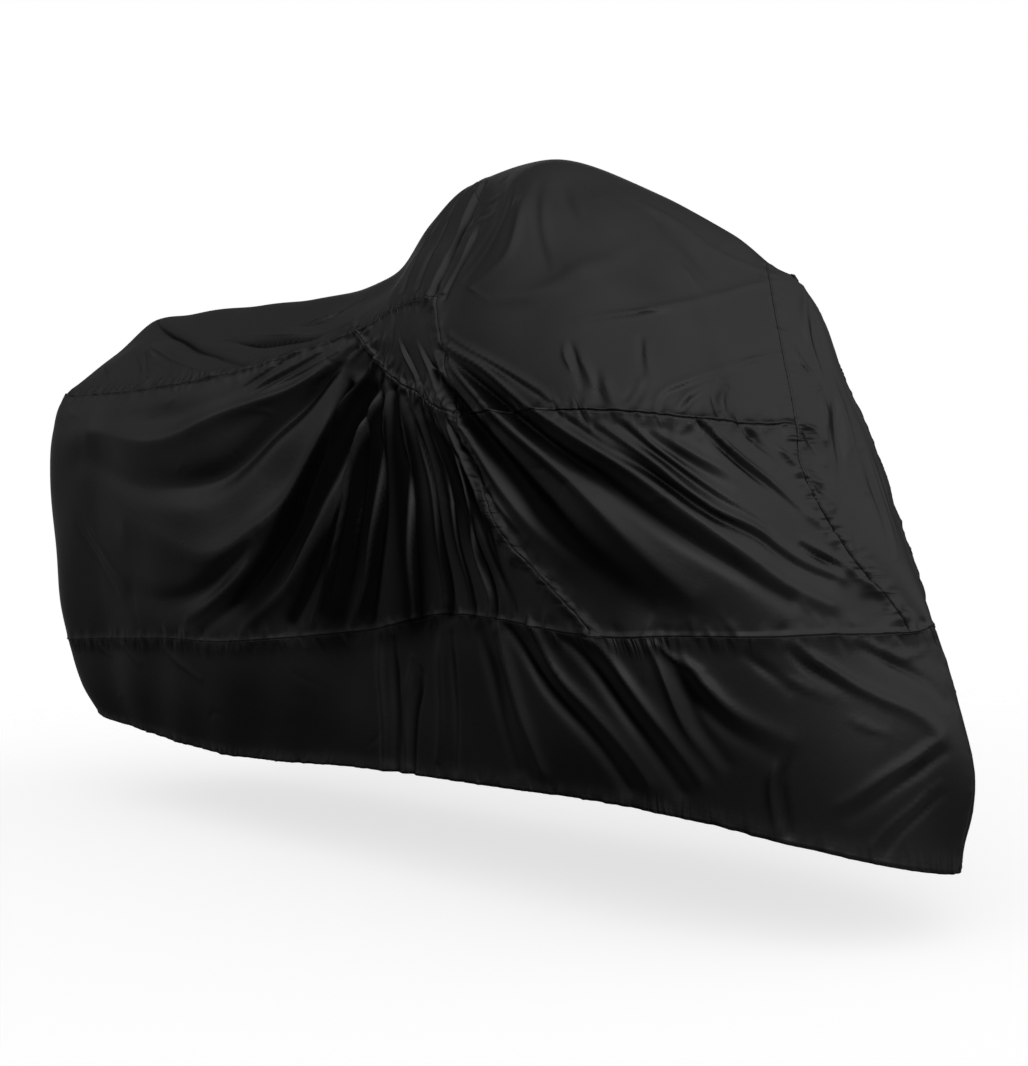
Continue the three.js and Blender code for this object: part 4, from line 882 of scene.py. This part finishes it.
def panel_part(panel, side):
    """Outer and inner points of a panel on one side, its triangles, cloth coordinates and traits."""
    c0, c1 = (COLUMN[name] for name in panel.columns)
    r0, r1 = (ROW[name] for name in panel.rows)
    columns = np.arange(c0, c1 + 1)
    rows = np.arange(r0, r1 + 1)
    if side > 0 and panel.sides == 1:
        rows = np.unique(np.append(rows[::LEFT_ROW_STEP], r1))
    cut = np.ix_(columns, rows)
    outer = GRIDS[side][cut]
    normals = NORMALS[side][cut]
    edges = {
        FIRST: (outer[0], outer[1]),
        LAST: (outer[-1], outer[-2]),
        TOP: (outer[:, 0], outer[:, 1]),
        BOTTOM: (outer[:, -1], outer[:, -2]),
    }
    for name, (edge, inside) in edges.items():
        if name in panel.seams:
            draw_back(edge, inside)
    inner = outer - normals * SHEET
    triangles = cut_cells(outer, side)
    uv = np.stack(np.broadcast_arrays(RUN_AROUND[columns, None], RUN_DOWN[cut]), -1)
    traits = TRAIT_GRIDS[side][cut]
    points = outer.reshape(-1, 3), inner.reshape(-1, 3)
    return *points, triangles, uv.reshape(-1, 2), traits.reshape(-1, len(TRAITS))


def closed_sheet(parts):
    """Points, triangles, cloth coordinates and traits of one closed sheet made of its parts."""
    outer, inner, cells, uv, traits = zip(*parts)
    offsets = np.cumsum([0] + [len(points) for points in outer[:-1]])
    triangles = np.concatenate([own + offset for own, offset in zip(cells, offsets)])
    outer, inner, uv, traits = (np.concatenate(values) for values in (outer, inner, uv, traits))
    triangles = weld(outer)[triangles]
    a, b, c = triangles.T
    triangles = triangles[(a != b) & (b != c) & (c != a)]
    used, compact = np.unique(triangles, return_inverse=True)
    triangles = compact.reshape(-1, 3)
    outer, inner, uv, traits = outer[used], inner[used], uv[used], traits[used]
    count = len(outer)
    edges = np.concatenate([triangles[:, [0, 1]], triangles[:, [1, 2]], triangles[:, [2, 0]]])
    forward = edges[:, 0] * count + edges[:, 1]
    backward = edges[:, 1] * count + edges[:, 0]
    free = edges[~np.isin(forward, backward)]
    start, end = free.T
    rim = np.concatenate([np.stack([start, start + count, end + count], 1),
                          np.stack([start, end + count, end], 1)])
    faces = np.concatenate([triangles, triangles[:, ::-1] + count, rim])
    both = [np.concatenate([values, values]) for values in (uv, traits)]
    return np.concatenate([outer, inner]), faces, *both


def make_object(name, points, faces, uv=None, traits=None):
    """A smooth mesh object from points in millimetres."""
    mesh = bpy.data.meshes.new(name)
    mesh.vertices.add(len(points))
    mesh.vertices.foreach_set("co", (points * MM).ravel())
    mesh.loops.add(faces.size)
    mesh.loops.foreach_set("vertex_index", faces.ravel().astype(np.int32))
    mesh.polygons.add(len(faces))
    mesh.polygons.foreach_set("loop_start", np.arange(0, faces.size, faces.shape[1], dtype=np.int32))
    mesh.polygons.foreach_set("use_smooth", np.ones(len(faces), bool))
    mesh.update(calc_edges=True)
    if uv is not None:
        layer = mesh.uv_layers.new(name="cloth")
        layer.data.foreach_set("uv", (uv[faces.ravel()] * MM).ravel())
        for trait, values in zip(TRAITS, traits.T):
            attribute = mesh.attributes.new(trait, "FLOAT", "POINT")
            attribute.data.foreach_set("value", np.ascontiguousarray(values, np.float32))
    mesh.validate()
    item = bpy.data.objects.new(name, mesh)
    bpy.context.scene.collection.objects.link(item)
    return item


# Materials. Colours are linear, and scales are in spots, lines or bands to a metre or nearly so.
CLOTH_COLOR = (0.0022, 0.0022, 0.0025)
CLOTH_DUST = (0.0040, 0.0040, 0.0044)
MOTTLE = {"Scale": 7.0, "Detail": 4.0, "Roughness": 0.55}
BODY_ROUGHNESS = 0.31
SKIRT_ROUGHNESS = 0.36
ROUGHNESS_CHANGES = (-0.06, 0.08)
PATCHES = {"Scale": 16.0, "Detail": 3.0, "Roughness": 0.5}
OPEN_SHINE = 0.5           # specular level of the open cloth, and the lower one that paints shade on the floors of its deep folds
PAINTED_SHADE_SHINE = 0.02
WRINKLES = {"Scale": 42.0, "Detail": 5.0, "Roughness": 0.6, "Distortion": 1.2}
WRINKLE_RELIEF = {"Strength": 0.35, "Distance": 0.0012}
GATHER_LINES = (34, 9)     # fine gathers to a metre, across them and along them
GATHERS_NOISE = {"Scale": 1.0, "Detail": 1.0, "Roughness": 0.4, "Distortion": 0.8}
GATHERS_RELIEF = {"Strength": 1.0, "Distance": 0.011}
WEAVE = {"Scale": 240.0}
WEAVE_RELIEF = {"Strength": 0.12, "Distance": 0.0002}
THREAD_COLOR = (0.006, 0.006, 0.0065)
THREAD_LIGHT = 2           # its light parts, against that colour
THREAD_ROUGHNESS = 0.5
TWIST = {"Scale": 900.0, "Detail": 2.0}


def new_material(name):
    """A material with its node tree and its shader."""
    material = bpy.data.materials.new(name)
    material.use_nodes = True
    tree = material.node_tree
    return material, tree, tree.nodes["Principled BSDF"]


def node(tree, kind, **inputs):
    """A node with some of its inputs set."""
    made = tree.nodes.new(kind)
    for key, value in inputs.items():
        made.inputs[key.replace("_", " ")].default_value = value
    return made


def noise(tree, place, settings):
    """Noise over some coordinates."""
    made = node(tree, "ShaderNodeTexNoise", **settings)
    tree.links.new(place, made.inputs["Vector"])
    return made.outputs["Fac"]


def stored(tree, trait):
    """A trait that is stored with the mesh."""
    made = tree.nodes.new("ShaderNodeAttribute")
    made.attribute_name = trait
    return made.outputs["Fac"]


def smooth_range(tree, value, steps):
    """Smooth step of a socket's value: where it starts and ends, and what it leads from and to."""
    made = tree.nodes.new("ShaderNodeMapRange")
    made.interpolation_type = "SMOOTHSTEP"
    for name, number in zip(("From Min", "From Max", "To Min", "To Max"), steps):
        made.inputs[name].default_value = number
    tree.links.new(value, made.inputs["Value"])
    return made.outputs["Result"]


def worked_out(tree, kind, operation, *values):
    """Outputs of a node that works with some sockets or numbers."""
    made = tree.nodes.new(kind)
    made.operation = operation
    for socket, value in zip(made.inputs, values):
        if isinstance(value, bpy.types.NodeSocket):
            tree.links.new(value, socket)
        else:
            socket.default_value = value
    return made.outputs


def spread(tree, value, low, high):
    """A value between 0 and 1, spread between two others."""
    made = node(tree, "ShaderNodeMapRange", To_Min=low, To_Max=high)
    tree.links.new(value, made.inputs["Value"])
    return made.outputs["Result"]


def tint(tree, shader, share, first, second):
    """Colours a shader between two colours."""
    tone = tree.nodes.new("ShaderNodeMix")
    tone.data_type = "RGBA"
    tone.inputs["A"].default_value = (*first, 1)
    tone.inputs["B"].default_value = (*second, 1)
    tree.links.new(share, tone.inputs["Factor"])
    tree.links.new(tone.outputs["Result"], shader.inputs["Base Color"])


def bump(tree, height, settings, below=None):
    """The normal of a relief, laid over the one below it."""
    made = node(tree, "ShaderNodeBump", **settings)
    tree.links.new(height, made.inputs["Height"])
    if below is not None:
        tree.links.new(below, made.inputs["Normal"])
    return made.outputs["Normal"]


def gathers(tree, place, trait, lines):
    """Fine gathers, as strong as a trait of the cloth says."""
    stretched = worked_out(tree, "ShaderNodeVectorMath", "MULTIPLY", place, (*lines, 1))["Vector"]
    drawn = noise(tree, stretched, GATHERS_NOISE)
    return worked_out(tree, "ShaderNodeMath", "MULTIPLY", drawn, stored(tree, trait))["Value"]


def cloth_material(name, roughness):
    """Coated taffeta: near black, satin, with painted shade in its deep folds, small wrinkles, gathers
    beside the seams and a fine weave.
    """
    material, tree, shader = new_material(name)
    link = tree.links.new
    place = tree.nodes.new("ShaderNodeTexCoord").outputs
    tint(tree, shader, noise(tree, place["Object"], MOTTLE), CLOTH_COLOR, CLOTH_DUST)
    limits = [roughness + change for change in ROUGHNESS_CHANGES]
    link(spread(tree, noise(tree, place["Object"], PATCHES), *limits), shader.inputs["Roughness"])
    # Painted shade: the specular level falls where the painted-shade trait is high, on the floors of the
    # deep folds and hollows
    shine_under_painted_shade = spread(tree, stored(tree, PAINTED_SHADE_TRAIT), OPEN_SHINE, PAINTED_SHADE_SHINE)
    link(shine_under_painted_shade, shader.inputs["Specular IOR Level"])
    normal = bump(tree, noise(tree, place["Object"], WRINKLES), WRINKLE_RELIEF)
    for trait, lines in zip(GATHER_TRAITS, (GATHER_LINES, GATHER_LINES[::-1])):
        normal = bump(tree, gathers(tree, place["UV"], trait, lines), GATHERS_RELIEF, normal)
    for direction in ("X", "Y"):
        threads = node(tree, "ShaderNodeTexWave", **WEAVE)
        threads.bands_direction = direction
        link(place["UV"], threads.inputs["Vector"])
        normal = bump(tree, threads.outputs["Fac"], WEAVE_RELIEF, normal)
    link(normal, shader.inputs["Normal"])
    return material


def thread_material(name):
    """Twisted polyester thread."""
    material, tree, shader = new_material(name)
    place = tree.nodes.new("ShaderNodeTexCoord").outputs["Object"]
    light_parts = [value * THREAD_LIGHT for value in THREAD_COLOR]
    tint(tree, shader, noise(tree, place, TWIST), THREAD_COLOR, light_parts)
    shader.inputs["Roughness"].default_value = THREAD_ROUGHNESS
    return material


BODY_CLOTH = cloth_material("body_cloth", BODY_ROUGHNESS)
SKIRT_CLOTH = cloth_material("skirt_cloth", SKIRT_ROUGHNESS)
THREAD = thread_material("thread")


def add_panel(panel, name, sides):
    """Adds the cloth of one panel, which replaces the solid of that name."""
    parts = [panel_part(panel, side) for side in sides]
    item = make_object(name + "_cloth", *closed_sheet(parts))
    item.data.materials.append(SKIRT_CLOTH if panel.node == "skirt" else BODY_CLOTH)
    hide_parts(name)
    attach(item, "root")


for panel in MIDDLE_PANELS:
    add_panel(panel, panel.node, (-1, 1))
for panel in SIDE_PANELS:
    add_panel(panel, panel.node + "_right", (-1,))
    add_panel(panel, panel.node + "_left", (1,))


# Stitching: short threads along the seams, each a thin spindle that lies on the cloth
def stitch_row(seam, distance, side):
    """Ends and directions of the stitches of one row."""
    section, level = seam_places(seam)
    if seam.runs == "down":
        reach = np.linalg.norm(span_at(section, level, STITCH_STEP, 0), axis=1)
        section = np.clip(section + distance * 2 * STITCH_STEP / reach, 0, NOSE)
    else:
        reach = np.linalg.norm(span_at(section, level, 0, STITCH_STEP), axis=1)
        level = np.clip(level + distance * 2 * STITCH_STEP / reach, 0, HEM)
    length = run_along(base_points(section, level))
    starts = np.arange(STITCH_PITCH, length[-1] - STITCH_PITCH, STITCH_PITCH)
    places = [
        (np.interp(at, length, section), np.interp(at, length, level))
        for at in (starts, starts + STITCH_LENGTH)
    ]
    normals = base_normals(*places[0])
    if side > 0:
        normals = mirrored(normals)
    return *(folded_points(*place, side) for place in places), normals


def spindles(starts, ends, normals):
    """Points and triangles of many thin spindles."""
    axis = ends - starts
    axis /= np.linalg.norm(axis, axis=1, keepdims=True)
    sideways = np.cross(axis, normals)
    sideways /= np.linalg.norm(sideways, axis=1, keepdims=True)
    up = np.cross(sideways, axis)
    rings = []
    for share, radius in SPINDLE_RINGS:
        lift = STITCH_RADIUS * (STITCH_LIFT * radius - STITCH_SINK)
        middle = starts + (ends - starts) * share + up * lift
        for corner in range(SPINDLE_SIDES):
            turn = math.tau * corner / SPINDLE_SIDES
            rings.append(middle + STITCH_RADIUS * radius * (math.cos(turn) * sideways + math.sin(turn) * up))
    points = np.stack(rings, 1)
    faces = []
    for ring in range(len(SPINDLE_RINGS) - 1):
        for corner in range(SPINDLE_SIDES):
            a = ring * SPINDLE_SIDES + corner
            b = ring * SPINDLE_SIDES + (corner + 1) % SPINDLE_SIDES
            faces += [(a, b, b + SPINDLE_SIDES), (a, b + SPINDLE_SIDES, a + SPINDLE_SIDES)]
    faces = np.array(faces)
    offsets = np.arange(len(starts))[:, None, None] * points.shape[1]
    return points.reshape(-1, 3), (faces[None] + offsets).reshape(-1, 3)


for side, label in ((-1, "right"), (1, "left")):
    rows = [stitch_row(seam, distance, side) for seam in SEAMS for distance in seam.stitch]
    starts, ends, normals = (np.concatenate(part) for part in zip(*rows))
    threads = make_object("stitching_" + label, *spindles(starts, ends, normals))
    threads.data.materials.append(THREAD)
    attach(threads, "root")


# Floor
FLOOR_SIZE = 9.0
FLOOR_FADE = (1.6, 4.0)
FLOOR_GREY = (0.55, 0.55, 0.55)
FLOOR_GLOW = 0.71
FLOOR_ROUGHNESS = 0.8


def floor_material():
    """Pale floor that fades into the white background far from the cover."""
    material, tree, shader = new_material("floor")
    shader.inputs["Base Color"].default_value = (*FLOOR_GREY, 1)
    shader.inputs["Roughness"].default_value = FLOOR_ROUGHNESS
    shader.inputs["Emission Color"].default_value = (1, 1, 1, 1)
    shader.inputs["Emission Strength"].default_value = FLOOR_GLOW
    place = tree.nodes.new("ShaderNodeTexCoord").outputs["Object"]
    away = worked_out(tree, "ShaderNodeVectorMath", "LENGTH", place)["Value"]
    tree.links.new(smooth_range(tree, away, (*FLOOR_FADE, 1, 0)), shader.inputs["Alpha"])
    return material


bpy.ops.mesh.primitive_plane_add(size=FLOOR_SIZE, location=(0, 0, -CROWN_HEIGHT * MM))
floor = bpy.context.object
floor.name = "floor"
floor.data.materials.append(floor_material())
floor.visible_glossy = False
floor.visible_diffuse = False

# Camera at the photograph's viewing angle
IMAGE_HEIGHT_PX = 1066
FOCAL_PX = 1368.5
SENSOR_MM = 36
CAMERA_AT = Vector((1.895, -2.235, -0.750))
CAMERA_RIGHT = Vector((0.74460, 0.66720, -0.02030))
CAMERA_UP = Vector((0.00617, 0.02353, 0.99970))
camera_data = bpy.data.cameras.new("camera")
camera_data.sensor_fit = "VERTICAL"
camera_data.sensor_height = SENSOR_MM
camera_data.lens = FOCAL_PX * SENSOR_MM / IMAGE_HEIGHT_PX
camera = bpy.data.objects.new("camera", camera_data)
camera_back = CAMERA_RIGHT.cross(CAMERA_UP).normalized()
camera_turn = Matrix((CAMERA_RIGHT, CAMERA_UP, camera_back)).transposed().to_4x4()
camera.matrix_world = Matrix.Translation(CAMERA_AT) @ camera_turn
bpy.context.scene.collection.objects.link(camera)
bpy.context.scene.camera = camera

# Soft studio light, in metres and watts
Light = namedtuple("Light", "name at aim size power")
LIGHTS = (
    Light("key", (2.3, -2.9, 1.2), (0.2, 0, -0.5), (2.6, 1.8), 6),
    Light("back", (-2.6, 2.8, 1.2), (-0.3, 0, -0.6), (2.4, 2.0), 2),
)
for light in LIGHTS:
    data = bpy.data.lights.new(light.name, "AREA")
    data.shape = "RECTANGLE"
    data.size, data.size_y = light.size
    data.energy = light.power
    lamp = bpy.data.objects.new(light.name, data)
    lamp.location = light.at
    lamp.rotation_euler = (Vector(light.aim) - Vector(light.at)).to_track_quat("-Z", "Y").to_euler()
    lamp.visible_camera = False
    bpy.context.scene.collection.objects.link(lamp)

# Studio room. It is white where it is seen. As light it has a bright ceiling, dim walls and a dark ground.
# Each TURN, RISE and FALL is two cosines or heights of a direction and the values at the two.
UP = (0, 0, 1)
CEILING_WAY = (-0.77, 0.64, 0)           # the ceiling dims to the rear left
CEILING_TURN = (-0.7, 0.85, 0.90, 0.08)
CEILING_RISE = (0.07, 0.34, 0, 1)        # where the ceiling takes over from the walls
GLOOM_WAY = (0, -1, 0)                   # to the right of the cover it starts higher
GLOOM_TURN = (0.30, 1.0, 0, 0.17)
WALL_WAY = (-0.87, -0.50, 0)             # the walls are darker to the rear right
WALL_TURN = (0.60, 0.90, 0.28, 0.12)
SHADE_WAY = (-0.3, 0.95, 0)              # and darkest to the left
SHADE_TURN = (0.4, 0.9, 0, 1)
SHADE = 0.07
GROUND_WAY = (1, 0, 0)                   # the ground is lighter in front
GROUND_TURN = (-0.5, 0.3, 0.03, 0.15)
GROUND_FALL = (-0.08, -0.40, 0, 1)       # where it takes over from the walls
world = bpy.data.worlds.new("studio")
bpy.context.scene.world = world
world.use_nodes = True
tree = world.node_tree
tree.nodes.clear()
link = tree.links.new


way = tree.nodes.new("ShaderNodeTexCoord").outputs["Generated"]


def turned(direction, steps):
    """Smooth step over how far the directions of the room turn to a given one."""
    unit = Vector(direction).normalized()
    cosine = worked_out(tree, "ShaderNodeVectorMath", "DOT_PRODUCT", way, unit)["Value"]
    return smooth_range(tree, cosine, steps)


def blend(first, second, share):
    """Mix of two brightnesses, each a number or a socket."""
    mix = tree.nodes.new("ShaderNodeMix")
    for name, value in (("A", first), ("B", second), ("Factor", share)):
        if isinstance(value, float):
            mix.inputs[name].default_value = value
        else:
            link(value, mix.inputs[name])
    return mix.outputs["Result"]


walls = blend(turned(WALL_WAY, WALL_TURN), SHADE, turned(SHADE_WAY, SHADE_TURN))
under = blend(walls, turned(GROUND_WAY, GROUND_TURN), turned(UP, GROUND_FALL))
height = worked_out(tree, "ShaderNodeVectorMath", "DOT_PRODUCT", way, UP)["Value"]
lowered = worked_out(tree, "ShaderNodeMath", "SUBTRACT", height, turned(GLOOM_WAY, GLOOM_TURN))["Value"]
ceiling = turned(CEILING_WAY, CEILING_TURN)
strength = blend(under, ceiling, smooth_range(tree, lowered, CEILING_RISE))
seen = tree.nodes.new("ShaderNodeBackground")
lighting = tree.nodes.new("ShaderNodeBackground")
seen.inputs["Color"].default_value = (1, 1, 1, 1)
lighting.inputs["Color"].default_value = (1, 1, 1, 1)
link(strength, lighting.inputs["Strength"])
rays = tree.nodes.new("ShaderNodeLightPath")
choice = tree.nodes.new("ShaderNodeMixShader")
output = tree.nodes.new("ShaderNodeOutputWorld")
link(rays.outputs["Is Camera Ray"], choice.inputs["Fac"])
link(lighting.outputs["Background"], choice.inputs[1])
link(seen.outputs["Background"], choice.inputs[2])
link(choice.outputs["Shader"], output.inputs["Surface"])
bpy.context.scene.view_settings.view_transform = "Standard"
